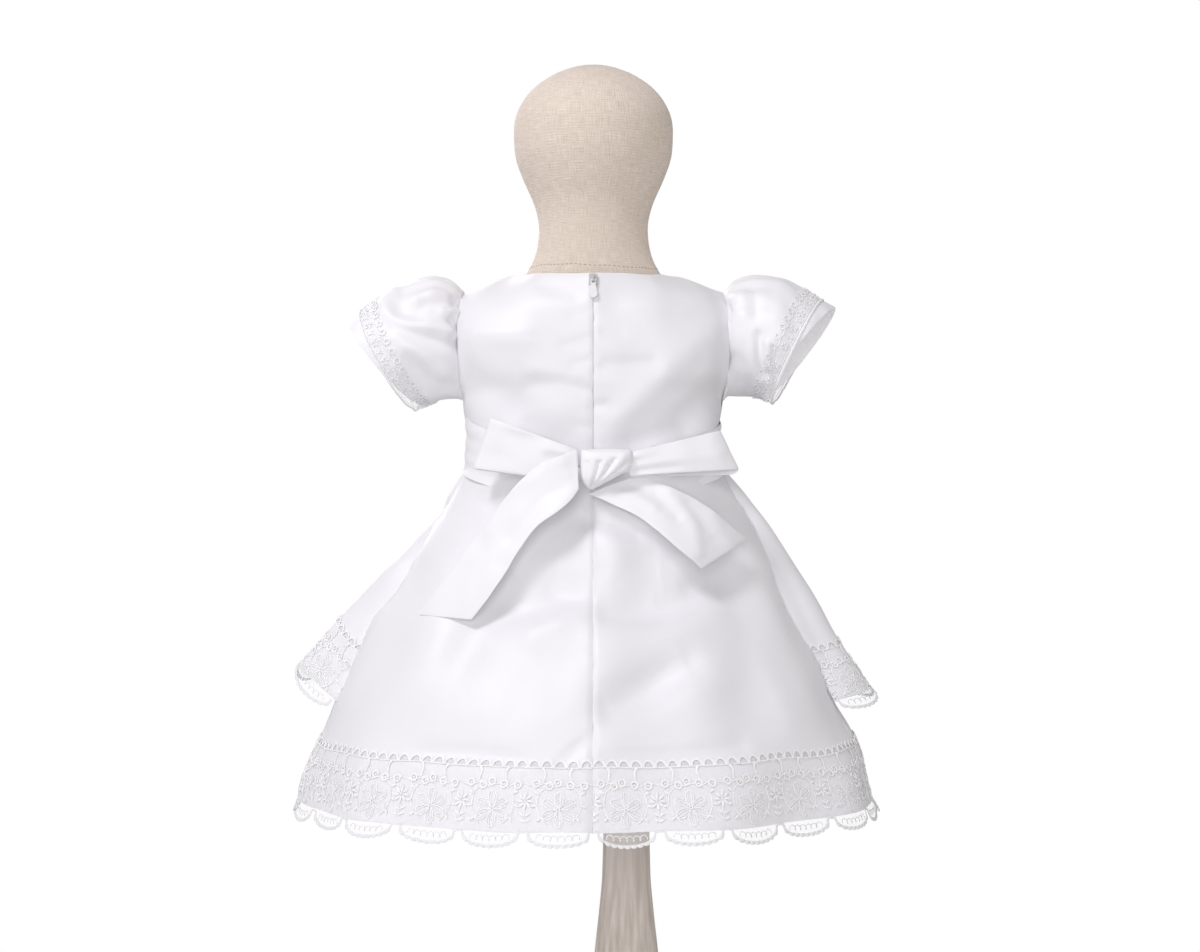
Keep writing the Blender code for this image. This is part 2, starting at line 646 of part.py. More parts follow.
def zip_tape(backs):
    """The zip's tape, laid on the inside of the two backs' first columns."""
    sides, outs = [], []
    left, right = backs
    for (grid, normals), share in ((left, TAPE_HALF_WIDTH), (left, 0), (right, TAPE_HALF_WIDTH)):
        reach = numpy.linalg.norm(grid[:, 1] - grid[:, 0], axis=1, keepdims=True)
        part = share * MM / reach
        sides.append(grid[:, 0] * (1 - part) + grid[:, 1] * part)
        outs.append(normals[:, 0] * (1 - part) + normals[:, 1] * part)
    grid, normals = numpy.stack(sides, axis=1), numpy.stack(outs, axis=1)
    low = -SATIN - LAY_GAP
    wall("zip_tape", grid, normals, low - TAPE_THICKNESS, low, finish("zip_tape", WHITE_TAPE))


# ---------------------------------------------------------------- sleeves
def sleeve_ring(station, side, yaw, angle):
    """A point of a sleeve's ring in mm; the angle goes from its low side over the back."""
    turn = radians(angle)
    high, low = Vector((station.top_x, 0, station.top_z)), Vector((station.low_x, 0, station.low_z))
    middle, reach = (high + low) / 2, (high - low) / 2
    top = max(0.0, -cos(turn))
    ripple = GATHER_DEPTH * station.gather * top * cos(GATHERS * (turn - pi) * GATHER_SPREAD)
    point = middle - reach * (1 + ripple / reach.length) * cos(turn)
    depth = (station.depth + ripple) * sin(turn)
    return [side * (point.x - yaw * depth * (1 - station.gather)), depth, point.z]


def sleeve_grid(stations, side, yaw):
    """A sleeve's outer side: the armhole's ring, then a ring for each station."""
    angles = [360 * column / SLEEVE_TURN for column in range(SLEEVE_TURN)]
    start = [armhole(angle if angle < 180 else angle - 360, side) for angle in angles]
    start = [point + numpy.array([side * 2 * LAY_GAP / MM, 0, 0]) for point in start]
    return to_metres([start, *([sleeve_ring(station, side, yaw, angle) for angle in angles]
                               for station in stations)])


def sleeve(name, stations, side, yaw):
    """A short bell sleeve, gathered at its cap, with a band of lace along its hem."""
    grid = sleeve_grid(stations, side, yaw)
    axis = grid.mean(axis=1, keepdims=True)
    normals = facing(grid, grid_normals(grid, True), axis)
    normals[0, :, 0] = 0
    normals[0] /= numpy.linalg.norm(normals[0], axis=1, keepdims=True)
    wall(name, grid, normals, -SATIN, 0, finish("white_satin", WHITE_SATIN), closed=True)
    sleeve_lace(f"{name}_lace", grid, normals)


def sleeve_lace(name, grid, normals):
    """The band of lace near a sleeve's hem, its upper edge in small scallops."""
    steps = numpy.linalg.norm(numpy.diff(grid[::-1], axis=0), axis=2) / MM
    rises = numpy.concatenate((numpy.zeros((1, SLEEVE_TURN)), numpy.cumsum(steps, axis=0)))
    places = numpy.zeros((len(SLEEVE_LACE), SLEEVE_TURN, 3))
    out = numpy.zeros_like(places)
    for index, line in enumerate(SLEEVE_LACE):
        for column in range(SLEEVE_TURN):
            dip = 1 - abs(sin(pi * SLEEVE_SCALLOPS * column / SLEEVE_TURN))
            rise = line.rise - line.scallop * dip
            row = len(grid) - 1 - numpy.interp(rise, rises[:, column], range(len(grid)))
            before = min(int(row), len(grid) - 2)
            part = row - before
            places[index, column] = grid[before, column] * (1 - part) + grid[before + 1, column] * part
            out[index, column] = normals[before, column] * (1 - part) + normals[before + 1, column] * part
    out /= numpy.linalg.norm(out, axis=2, keepdims=True)
    wall(name, places, out, LAY_GAP, LAY_GAP + LACE, finish("white_lace", WHITE_LACE), closed=True)


# ---------------------------------------------------------------- sash and bow
def waist_point(angle, height):
    """A point of the gown's outer side near the waist, in mm: bodice above, skirt below."""
    return skirt_point(90 - angle, height) if height < WAIST_Z else waist_oval(90 - angle, height)


def sash(name, edges, side, columns):
    """A stretch of the sash, laid on the gown between the edges' heights."""
    angles = [edge.angle for edge in edges]
    grid = []
    for share in (1, 0.5, 0):
        line = []
        for column in range(columns + 1):
            angle = angles[0] + (angles[-1] - angles[0]) * column / columns
            low, high = (column_of(edges, "angle", edge, angle) for edge in ("low", "high"))
            height = low + (high - low) * share
            place = waist_point(side * angle, height)
            place[:2] += place[:2] / hypot(*place[:2]) * (2 * LAY_GAP + RIBBON) / MM
            line.append(place)
        grid.append(line)
    grid = to_metres(grid)
    wall(name, grid, facing(grid, grid_normals(grid, False), (GOWN_X, 0, WAIST_Z * MM)), -RIBBON, 0,
         finish("white_satin", WHITE_SATIN))


def bow_loop(name, loop):
    """A loop of ribbon that leaves the knot, turns over at its end and comes back."""
    root_high, root_low, end_high, end_low = (numpy.array(corner) for corner in loop[:4])
    grid = []
    for share in RIBBON_SHARES:
        line = []
        for column in range(LOOP_COLUMNS + 1):
            turn = LOOP_START + (2 * pi - 2 * LOOP_START) * column / LOOP_COLUMNS
            reach = (1 - cos(turn)) / 2
            root = root_low + (root_high - root_low) * share
            end = end_low + (end_high - end_low) * share
            point = root + (end - root) * (reach - (1 - cos(LOOP_START)) / 2)
            point[1] += loop.puff * sin(turn) * (LOOP_ROOT_PUFF + (1 - LOOP_ROOT_PUFF) * reach)
            line.append(point)
        grid.append(line)
    grid = to_metres(grid)
    wall(name, grid, grid_normals(grid, False), -RIBBON / 2, RIBBON / 2, finish("white_satin", WHITE_SATIN))


def bow_knot():
    """The knot: a band wrapped over the bow's middle and narrowing to its foot."""
    points = []
    for ring in KNOT_RINGS:
        middle, reach = (ring.left + ring.right) / 2, (ring.left - ring.right) / 2
        for corner in range(KNOT_TURN):
            angle = 360 * (corner + 0.5) / KNOT_TURN
            side, depth = oval(angle, reach, reach, ring.half_depth, ring.half_depth, KNOT_SQUARENESS)
            points.append(Vector((middle + side, KNOT_Y + depth, ring.z)) * MM + Vector((GOWN_X, 0, 0)))
    faces = [[row * KNOT_TURN + corner, row * KNOT_TURN + (corner + 1) % KNOT_TURN,
              (row + 1) * KNOT_TURN + (corner + 1) % KNOT_TURN, (row + 1) * KNOT_TURN + corner]
             for row in range(len(KNOT_RINGS) - 1) for corner in range(KNOT_TURN)]
    last = len(points) - KNOT_TURN
    faces += [list(range(KNOT_TURN)), list(range(last, len(points)))]
    add_object("bow_knot", mesh_from("bow_knot", points, faces), finish("white_satin", WHITE_SATIN))


def back_depth(across, height):
    """The depth of the gown's back at a place in mm across from its middle, and its height."""
    low, high = 0.0, 180.0
    for _ in range(HALVINGS):
        angle = (low + high) / 2
        point = waist_point(90 - angle, height)
        low, high = (angle, high) if point[0] > across else (low, angle)
    return point[1]


def bow_tail(name, steps):
    """A tail of the bow, standing a little off the gown's back."""
    knots = range(len(steps))
    grid = []
    for share in RIBBON_SHARES:
        line = []
        for column in range(TAIL_COLUMNS + 1):
            at = column / TAIL_COLUMNS * (len(steps) - 1)
            high_x, high_z, low_x, low_z, stand = (smooth(knots, [step[field] for step in steps], at)
                                                   for field in range(len(TailStep._fields)))
            across = low_x + (high_x - low_x) * share
            height = low_z + (high_z - low_z) * share
            line.append([across, back_depth(across, height) + stand, height])
        grid.append(line)
    grid = to_metres(grid)
    wall(name, grid, facing(grid, grid_normals(grid, False), (GOWN_X, 0, WAIST_Z * MM)), -RIBBON, 0,
         finish("white_satin", WHITE_SATIN))


def sash_and_bow():
    """The sash round the waist, and the bow that it ends in at the back."""
    sash("sash_back_left", SASH_LEFT, 1, SASH_HALF_TURN // 2)
    sash("sash_back_right", SASH_RIGHT, -1, SASH_HALF_TURN // 2)
    sash("sash_front_left", SASH_FRONT, 1, SASH_HALF_TURN)
    sash("sash_front_right", SASH_FRONT, -1, SASH_HALF_TURN)
    bow_loop("bow_loop_left", LEFT_LOOP)
    bow_loop("bow_loop_right", RIGHT_LOOP)
    bow_knot()
    bow_tail("bow_tail_left", LEFT_TAIL)
    bow_tail("bow_tail_right", RIGHT_TAIL)


# ---------------------------------------------------------------- zip slider and pull
def box_mesh(name, size, centre):
    """A box as a mesh."""
    shape = bmesh.new()
    bmesh.ops.create_cube(shape, size=1, matrix=Matrix.Translation(centre) @ Matrix.Diagonal((*size, 1)))
    mesh = bpy.data.meshes.new(name)
    shape.to_mesh(mesh)
    shape.free()
    return mesh


def combine(target, tool, operation):
    """Join a tool to a piece, or cut it out of it, and keep the tool out of the model."""
    tool.hide_render = True
    tool.display_type = "WIRE"
    modifier = target.modifiers.new(operation.title(), "BOOLEAN")
    modifier.operation = operation
    modifier.object = tool


def slider_and_pull():
    """The slider at the top of the zip, and the tab that hangs from its bridge."""
    metal = finish("zip_metal", ZIP_METAL)
    tilt = atan2(back_middle(ZIP_LOW_Z) - back_middle(ZIP_HIGH_Z), ZIP_HIGH_Z - ZIP_LOW_Z)
    frame = bpy.data.objects.new("zip_frame", None)
    bpy.context.collection.objects.link(frame)
    frame.location = (GOWN_X, back_middle(SLIDER_Z) * MM + SLIDER_LIFT, SLIDER_Z * MM)
    frame.rotation_euler.x = tilt

    face = SLIDER_SIZE.y
    body = box_mesh("zip_slider", SLIDER_SIZE, Vector((0, SLIDER_SIZE.y / 2, 0)))
    slider = add_object("zip_slider", body, metal, frame)
    bridge_size = Vector((BRIDGE_WIDTH, BRIDGE_RISE + SLIDER_SIZE.y / 2, BRIDGE_LENGTH))
    bridge_middle = Vector((0, face + BRIDGE_RISE - bridge_size.y / 2, 0))
    bridge_mesh = box_mesh("zip_bridge_tool", bridge_size, bridge_middle)
    bridge = add_object("zip_bridge_tool", bridge_mesh, metal, frame)
    hollow_size = Vector((BRIDGE_WIDTH * 2, BRIDGE_RISE - BRIDGE_BAR, BRIDGE_LENGTH - 2 * BRIDGE_BAR))
    hollow_mesh = box_mesh("zip_hollow_tool", hollow_size, Vector((0, face + hollow_size.y / 2, 0)))
    hollow = add_object("zip_hollow_tool", hollow_mesh, metal, frame)
    combine(slider, bridge, "UNION")
    combine(slider, hollow, "DIFFERENCE")

    pivot = bpy.data.objects.new("zip_pull_pivot", None)
    bpy.context.collection.objects.link(pivot)
    pivot.parent = frame
    pivot.location = (0, face + hollow_size.y / 2, -PIVOT_DROP)
    neck_z = -PULL_BAR / 2 - PULL_EYE.z - PULL_BAR
    round_z = -PULL_LENGTH + PULL_WIDTH / 2
    outline = [(-PULL_TOP / 2, PULL_BAR / 2), (PULL_TOP / 2, PULL_BAR / 2), (PULL_TOP / 2, neck_z)]
    outline += [(PULL_WIDTH / 2 * cos(turn), round_z + PULL_WIDTH / 2 * sin(turn))
                for turn in (radians(PULL_STEP * (1 - step)) for step in range(180 // PULL_STEP + 3))]
    outline.append((-PULL_TOP / 2, neck_z))
    points = [(across, depth, height) for depth in (-PULL_THICKNESS / 2, PULL_THICKNESS / 2)
              for across, height in outline]
    count = len(outline)
    sides = [[corner, (corner + 1) % count, count + (corner + 1) % count, count + corner]
             for corner in range(count)]
    faces = [list(range(count)), list(range(count, 2 * count)), *sides]
    tab = mesh_from("zip_pull", points, faces)
    pull = add_object("zip_pull", tab, finish("zip_pull", WHITE_PULL), pivot)
    eye_size = Vector((PULL_EYE.x, PULL_THICKNESS * 2, PULL_EYE.z))
    eye_mesh = box_mesh("zip_eye_tool", eye_size, Vector((0, 0, -PULL_BAR / 2 - PULL_EYE.z / 2)))
    eye = add_object("zip_eye_tool", eye_mesh, metal, pivot)
    combine(pull, eye, "DIFFERENCE")


# ---------------------------------------------------------------- dress form and stand
def stacked(name, rings, sides, material, tip=None):
    """A closed solid through rings of (z, half width, half depth, middle x) in metres."""
    points = [(middle + wide * cos(turn), deep * sin(turn), height)
              for height, wide, deep, middle in rings
              for turn in (2 * pi * side / sides for side in range(sides))]
    faces = [[row * sides + side, row * sides + (side + 1) % sides,
              (row + 1) * sides + (side + 1) % sides, (row + 1) * sides + side]
             for row in range(len(rings) - 1) for side in range(sides)]
    faces.append(list(reversed(range(sides))))
    last = (len(rings) - 1) * sides
    if tip is None:
        faces.append([last + side for side in range(sides)])
    else:
        points.append(tip)
        faces += [[last + side, last + (side + 1) % sides, len(points) - 1] for side in range(sides)]
    return add_object(name, mesh_from(name, points, faces), material)


def form_and_stand():
    """The linen form with its plain head, the turned pole and the round base."""
    rings = [(ring.z * MM, ring.half_width * MM, ring.half_depth * MM, GOWN_X) for ring in FORM_RINGS]
    stacked("dress_form", rings, FORM_SIDES, finish("linen", LINEN), tip=(GOWN_X, 0, FORM_TOP_Z * MM))
    wood = finish("pale_wood", PALE_WOOD)
    for name, steps in (("stand_pole", POLE_STEPS), ("stand_base", BASE_STEPS)):
        rings = [(step.z * MM, step.radius * MM, step.radius * MM, 0) for step in steps]
        stacked(name, rings, TURN_SIDES, wood)


def main():
    for old in list(bpy.data.objects):
        bpy.data.objects.remove(old)
    skirt_side, skirt_normals = skirt()
    over_side, over_normals = overskirt()
    laces(skirt_side, skirt_normals, over_side, over_normals)
    zip_tape(bodice())
    sleeve("sleeve_left", LEFT_SLEEVE, 1, LEFT_YAW)
    sleeve("sleeve_right", RIGHT_SLEEVE, -1, RIGHT_YAW)
    sash_and_bow()
    slider_and_pull()
    form_and_stand()


main()
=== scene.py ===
"""Looks of the white satin christening gown on its linen dress form.

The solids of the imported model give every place. Sizes are in millimetres, and across is
measured from the gown's middle, positive to +X. The gown's front faces -Y, and its zipped
back with the bow faces +Y and the camera. The comment above a block of tables names their
columns, and a table that is read by curves is looked up by its first column.
"""

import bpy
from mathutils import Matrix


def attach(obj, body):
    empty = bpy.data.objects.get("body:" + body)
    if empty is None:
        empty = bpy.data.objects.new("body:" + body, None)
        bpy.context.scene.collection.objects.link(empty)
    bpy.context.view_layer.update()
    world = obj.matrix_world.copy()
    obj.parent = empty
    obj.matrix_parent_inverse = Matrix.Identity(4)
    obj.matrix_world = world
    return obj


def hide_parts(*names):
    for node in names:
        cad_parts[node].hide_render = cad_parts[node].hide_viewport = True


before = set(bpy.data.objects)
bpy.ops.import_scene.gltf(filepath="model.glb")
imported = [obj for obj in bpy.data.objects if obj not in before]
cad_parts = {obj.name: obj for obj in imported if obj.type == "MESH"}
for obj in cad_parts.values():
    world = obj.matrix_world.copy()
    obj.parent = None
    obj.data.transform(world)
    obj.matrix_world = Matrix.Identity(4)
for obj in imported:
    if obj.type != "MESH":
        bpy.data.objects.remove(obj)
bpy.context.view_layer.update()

from math import pi, radians

import bpy
import numpy as np
from mathutils import Vector
from numpy.linalg import norm

MM = 0.001
GOWN_X = 25                       # from the pole's axis to the gown's middle
ROOT = "gown_and_stand"

# ---------------- the gown's sizes
WAIST_Z, CORD_Z, HEM_Z = 443, 236.5, 193.5
SIDE_ANGLE = 80                   # from the back's middle to a side seam
SATIN, RIBBON = 1.2, 1.0          # thickness of the satin panels and of the ribbon
ROW_STEP = 3.0                    # between the skirt's rows of points
SKIRT_PASSES, OVER_PASSES, BODICE_PASSES = 40, 30, 12      # how often a surface's rows are softened
SEAM_GAP, ZIP_HALF_GAP = 0.3, 0.16

# z, left, right, back, front, squareness
SKIRT_RINGS = (
    (HEM_Z, 222, 212, 171, 170, 2.0),
    (CORD_Z, 209, 198, 154, 154, 2.0),
    (300, 181, 167, 126, 128, 2.0),
    (350, 151, 141, 101, 103, 2.05),
    (400, 120, 119, 78, 80, 2.15),
    (425, 104, 106, 67, 68, 2.3),
    (WAIST_Z, 95, 95, 60.5, 60.5, 2.5),
)
# angle, width, depth at the hem
SKIRT_FOLDS = (
    (25, 8, -3.0), (42, 8, 3.5), (60, 8, -3.0), (76, 7, 2.0), (101, 7, -3.0),
    (116, 8, 3.5), (133, 8, -4.5), (151, 8, 3.5), (200, 9, 4.0), (222, 9, -4.0),
    (246, 9, 4.5), (270, 10, -3.5), (294, 9, 4.5), (318, 9, -4.0), (340, 9, 4.0),
)
FOLD_GROWTH = 1.4
# name, first and last angle from the back's middle, columns of points
PANELS = (("skirt_back_left", 0, 80, 100), ("skirt_front", 80, 280, 190), ("skirt_back_right", 280, 360, 100))

OVER_TOP_Z, OVER_CORD = 439.5, 0.79
# share of the length, left, right, front, squareness
OVER_RINGS = (
    (0.0, 99.5, 100.5, 66.5, 2.5),
    (0.15, 112.5, 122, 81, 2.3),
    (0.35, 135, 146, 100, 2.1),
    (0.57, 165, 166, 120, 2.0),
    (OVER_CORD, 195, 188, 138, 2.0),
    (1.0, 221, 210, 155, 2.0),
)
# angle, drop from the top to the hem
OVER_DROPS = ((-180, 163), (-150, 168), (-90, 168), (-30, 168), (0, 143))
OVER_SEAM_DROP = 172
OVER_TUCK_X, OVER_TUCK_Y = 1.0, 1.3      # how far inside the side seam the overskirt starts
OVER_ROWS, OVER_FRONT_COLUMNS, OVER_SIDE_COLUMNS = 64, 170, 18
# angle, width, depth at the hem
OVER_FOLDS = (
    (-16, 7, 4.0), (-34, 8, -5.0), (-54, 8, 5.0), (-76, 8, -4.5),
    (-98, 8, 5.0), (-120, 8, -5.0), (-141, 8, 4.5), (-162, 7, -3.5),
)

ARMHOLE_X, ARMHOLE_BULGE, ARMHOLE_DEPTH = 98.5, 3.5, 33
ARMHOLE_Z, ARMHOLE_HEIGHT = 533.5, 41.5
# z, side, back, front
WAIST_RINGS = ((WAIST_Z, 95.5, 61, 61), (466, 95, 62, 63), (492, 98.5, 64, 66))
WAIST_SQUARENESS = 2.5
# z, middle y, blade x and y, corner x and y, place on the armhole, rise at the blade and at the corner
BACK_ROWS = (
    (507, 65, 46, 62, 85, 47, 42, 0, -1),
    (534, 65, 46, 62.5, 87, 50, 90, 0, 0),
    (558, 61.5, 46, 57.5, 85, 43, 128, 1, 1),
    (573, 56, 44, 49, 76, 25, 154, 2.5, 4),
    (586, 50, 39, 38, 62.5, 0.3, 180, 0.5, 2),
)
FRONT_ROWS = (
    (507, 66, 46, 63, 85, 47, 42, 0, -1),
    (530, 65, 46, 62.5, 87, 50, 90, 2, 4),
    (549, 63, 46, 58.5, 84, 43, 128, 4, 9),
    (561, 60, 43, 51, 75, 25, 154, 8, 15),
    (571, 56, 39, 41, 62.5, 0.3, 180, 6, 17),
)
ROW_KNOTS = (0, 0.42, 0.74, 1)    # shares of a row at its middle, blade, corner and armhole
BODICE_COLUMNS, BODICE_ROWS = 46, 60

# top x and z, underarm x and z, half depth, gather
LEFT_SLEEVE = (
    (108, 583, 104, 494.5, 38, 1.0),
    (123, 587, 109, 494.5, 43, 0.75),
    (145, 580.5, 116, 493.5, 46, 0.35),
    (166, 568, 123, 491, 47, 0.1),
    (182.5, 555.5, 130, 489, 47, 0),
)
RIGHT_SLEEVE = (
    (107, 583, 103, 496.5, 38, 1.0),
    (123, 587.5, 109, 496, 43, 0.75),
    (144, 585.5, 116, 496, 46, 0.35),
    (165, 575, 123, 495.5, 47, 0.1),
    (184, 564, 130, 494, 47, 0),
)
LEFT_YAW, RIGHT_YAW = -0.18, 0.19
GATHERS, GATHER_DEPTH, GATHER_SPREAD = 9, 1.7, 1.6
SLEEVE_TUCK = 0.985               # size of a sleeve's first ring, inside the armhole's edge
SLEEVE_INSET = 0.6
SLEEVE_ROWS, SLEEVE_COLUMNS = 46, 144

# angle from the back's middle, lower and upper edge
SASH_LEFT = ((9, 424, 456), (30, 425.5, 463), (60, 434, 475), (80, 440.2, 481))
SASH_RIGHT = ((24, 425.5, 458), (40, 428, 463), (60, 434, 470), (80, 440.2, 476))
SASH_FRONT_LEFT = ((80.3, 440.2, 480), (130, 441, 482), (180, 441, 482))
SASH_FRONT_RIGHT = ((80.3, 440.2, 476), *SASH_FRONT_LEFT[1:])
SASH_STAND = 2.3
SASH_LEAN = 1.3                   # how much nearer to the gown its top edge lies at the sides
SASH_LEAN_FROM, SASH_LEAN_TURN = 50, 25
SASH_PLEAT, SASH_PLEAT_DEPTH = 11, 0.35

# upper and lower corner at the knot, upper and lower corner at the end
LEFT_LOOP = ((11, 80, 455), (11, 80, 431), (76, 69, 478.5), (89, 68, 442))
RIGHT_LOOP = ((-26.5, 79, 453), (-26.5, 79, 436.5), (-94, 65, 469.5), (-108, 64, 441))
LOOP_PUFF, LOOP_ROOT_PUFF = 9, 0.35
LOOP_START = radians(16)
LOOP_GATHER, LOOP_ROLL = 0.5, 0.7
LEFT_BACK_DROP, RIGHT_BACK_DROP = 0.8, 4.0    # how much lower a loop's back layer hangs

KNOT_Y, KNOT_SQUARENESS = 79.5, 3.2
# z, left, right, half depth
KNOT_RINGS = (
    (426, 3, 0, 4), (430, 6.5, -7, 7.5), (436, 8.8, -18, 10), (441, 9.3, -26, 10.8),
    (448, 9.3, -28.3, 11), (453, 9.3, -28.3, 9), (455, 8, -27, 5),
)
# upper edge's x and z, lower edge's x and z, stand off the gown
LEFT_TAIL = (
    (11.5, 455, 10, 427, 25),
    (25, 450, 15, 420, 27),
    (38, 445, 25, 411, 28),
    (54, 431, 41, 400, 26),
    (76, 404, 55, 380, 20),
    (104, 367, 70, 356, 14),
    (127, 336, 87, 333.5, 5),
)
RIGHT_TAIL = (
    (-33, 438, 3, 423, 10),
    (-42, 434, -14, 416, 12),
    (-53, 429, -33, 407, 15),
    (-74, 420, -51, 393, 19),
    (-94, 405, -65, 381, 21),
    (-113, 390, -78, 370, 18),
)

# z, half width, half depth
FORM_RINGS = (
    (360, 72, 50), (368, 83, 58), (395, 88, 60), (443, 85, 54), (490, 88, 56),
    (535, 90, 56), (558, 84, 50), (571, 71, 43), (581, 57, 38), (592, 49, 36.5),
    (606, 43, 36), (625, 41, 38), (641, 44.5, 42), (660, 53, 52), (682, 60, 61),
    (702, 60.5, 63), (722, 52.5, 55), (736, 38, 40), (745, 18, 19),
)
FORM_TOP_Z = 747
NECK_SEAM_Z, NECK_STITCHES = 593, 84
# z, radius
POLE_STEPS = (
    (18.3, 34), (24, 33), (31, 28), (55, 25.8), (78, 23.8), (105, 20.8), (135, 18.3), (230, 16.5),
    (359.6, 14),
)
BASE_RIM = ((0, 109), (0.6, 109.8), (1.6, 110), (13.2, 110), (15.4, 109), (17, 106.5), (18, 103), (18, 60))


# ---------------- curves and surfaces
def curve(knots, values, at):
    """Cubics through rows of values that never overshoot them, at any places."""
    knots, values, at = np.asarray(knots, float), np.asarray(values, float), np.asarray(at, float)
    shape = (-1,) + (1,) * (values.ndim - 1)
    steps = np.diff(knots).reshape(shape)
    slopes = np.diff(values, axis=0) / steps
    product = slopes[:-1] * slopes[1:]
    total = np.where(product > 0, slopes[:-1] + slopes[1:], 1)
    inner = np.where(product > 0, 2 * product / total, 0)
    tangents = np.concatenate((slopes[:1], inner, slopes[-1:]))
    place = np.clip(np.searchsorted(knots, at) - 1, 0, len(knots) - 2)
    step = steps[place]
    share = ((at - knots[place]) / np.diff(knots)[place]).reshape(shape)
    near = np.clip(share, 0, 1)
    smooth = (values[place] * (1 + 2 * near) * (1 - near) ** 2
              + tangents[place] * step * near * (1 - near) ** 2
              + values[place + 1] * near ** 2 * (3 - 2 * near)
              - tangents[place + 1] * step * near ** 2 * (1 - near))
    side = np.where(share > 1, tangents[place + 1], tangents[place])
    return smooth + side * step * (share - near)


def along(table, at):
    """A table's other columns where its first column has the given values."""
    rows = np.array(table, float)
    return curve(rows[:, 0], rows[:, 1:], np.ravel(at)).reshape(*np.shape(at), -1)


def bent(points, count):
    """A smooth line of count rows through a few rows."""
    return curve(range(len(points)), points, np.linspace(0, len(points) - 1, count))


def soften(grid, passes, axis=0):
    """Round off the joins between a table's rows, with the first and last kept."""
    grid = np.moveaxis(grid.copy(), axis, 0)
    for _ in range(passes):
        grid[1:-1] = (grid[:-2] + 2 * grid[1:-1] + grid[2:]) / 4
    return np.moveaxis(grid, 0, axis)


def merged(*columns):
    """Rows of points from their coordinates."""
    return np.stack(np.broadcast_arrays(*columns), axis=-1)


def directions(angles):
    """Cosines and sines of angles in degrees."""
    return np.cos(np.radians(angles)), np.sin(np.radians(angles))


def spacing(grid, axis=0):
    """Distances between neighbouring points of a grid, or of a line, along an axis."""
    return norm(np.diff(grid, axis=axis), axis=-1)


def raised(place, heights):
    """Points over flat places, at their heights."""
    return merged(place[..., 0], place[..., 1], heights)


def oval(angles, table):
    """Points of ovals: angles in degrees from +X over the back, and a row of half axes."""
    left, right, back, front, square = np.moveaxis(table, -1, 0)
    across, deep = directions(angles)
    reach = (np.abs(across) ** square + np.abs(deep) ** square) ** (1 / square)
    return merged(across * np.where(across > 0, left, right),
                  deep * np.where(deep > 0, back, front)) / reach[..., None]


def folded(place, folds, angles, share):
    """Move points of an oval out by the folds, which grow with the share of the length."""
    total = 0
    for angle, width, depth in folds:
        apart = (angles - angle + 180) % 360 - 180
        total = total + depth * np.exp(-(apart / width) ** 2)
    growth = total * np.clip(share, 0, None) ** FOLD_GROWTH
    return place * (1 + growth / norm(place, axis=-1))[..., None]


def skirt_points(angles, heights):
    """The skirt's outer side at matching angles and heights."""
    share = (WAIST_Z - heights) / (WAIST_Z - HEM_Z)
    return raised(folded(oval(angles, along(SKIRT_RINGS, heights)), SKIRT_FOLDS, angles, share), heights)


def skirt_grid(first, last, columns):
    """Rows from the waist to the hem, between two angles from the back's middle over +X."""
    heights = np.linspace(WAIST_Z - SEAM_GAP / 2, HEM_Z, int((WAIST_Z - HEM_Z) / ROW_STEP) + 1)
    angles, heights = np.meshgrid(90 - np.linspace(first, last, columns), heights)
    return soften(skirt_points(angles, heights), SKIRT_PASSES)


def over_drop(angles):
    """Height from the overskirt's top to its hem at angles over the front."""
    return along(OVER_DROPS, angles)[..., 0]


def over_front(angles, shares):
    """The overskirt's outer side between its widest places."""
    sizes = along(OVER_RINGS, shares)[..., [0, 1, 2, 2, 3]]
    return raised(folded(oval(angles, sizes), OVER_FOLDS, angles, shares),
                  OVER_TOP_Z - shares * over_drop(angles))


def over_side(side, turns, shares):
    """The overskirt from its widest place (turn 0) round to the side seam (turn 1)."""
    angle = np.full_like(turns, 0.0 if side > 0 else -180.0)
    widest, drop = over_front(angle, shares), over_drop(angle)
    heights = OVER_TOP_Z - shares * (drop + (OVER_SEAM_DROP - drop) * turns)
    seam = skirt_points(np.full_like(turns, 90 - side * SIDE_ANGLE), heights)
    seam_x, seam_y = seam[..., 0] - side * OVER_TUCK_X, seam[..., 1] - OVER_TUCK_Y
    bend = turns * pi / 2
    across = seam_x + (widest[..., 0] - seam_x) * np.cos(bend)
    return merged(across, seam_y * np.sin(bend), heights)


def over_grid():
    """The overskirt's outer side, from the left side seam over the front to the right one."""
    shares = np.linspace(0, 1, OVER_ROWS)
    turns, grow = np.meshgrid(np.linspace(1, 0, OVER_SIDE_COLUMNS, endpoint=False), shares)
    angles, long = np.meshgrid(np.linspace(0, -180, OVER_FRONT_COLUMNS), shares)
    left, right = over_side(1, turns, grow), over_side(-1, turns, grow)[:, ::-1]
    grid = np.concatenate([left, over_front(angles, long), right], axis=1)
    return soften(soften(grid, OVER_PASSES), 3, axis=1)


def armhole(angles, side):
    """The armhole's edge: angles in degrees from the underarm, over the back if above 0."""
    high, deep = directions(angles)
    across = side * (ARMHOLE_X + ARMHOLE_BULGE * np.abs(deep))
    return merged(across, ARMHOLE_DEPTH * deep, ARMHOLE_Z - ARMHOLE_HEIGHT * high)


def waist_points(angles, heights):
    """The bodice below the armholes, at matching angles from +X over the back, and heights."""
    sizes = along(WAIST_RINGS, heights)[..., [0, 0, 1, 2]]
    return raised(oval(angles, np.insert(sizes, 4, WAIST_SQUARENESS, axis=-1)), heights)


def round_waist(angles, heights):
    """The gown's outer side near the waist, at angles from the back's middle over +X."""
    lower = skirt_points(90 - angles, np.minimum(heights, WAIST_Z))
    upper = waist_points(90 - angles, np.maximum(heights, WAIST_Z))
    return raised(np.where((heights < WAIST_Z)[..., None], lower, upper)[..., :2], heights)


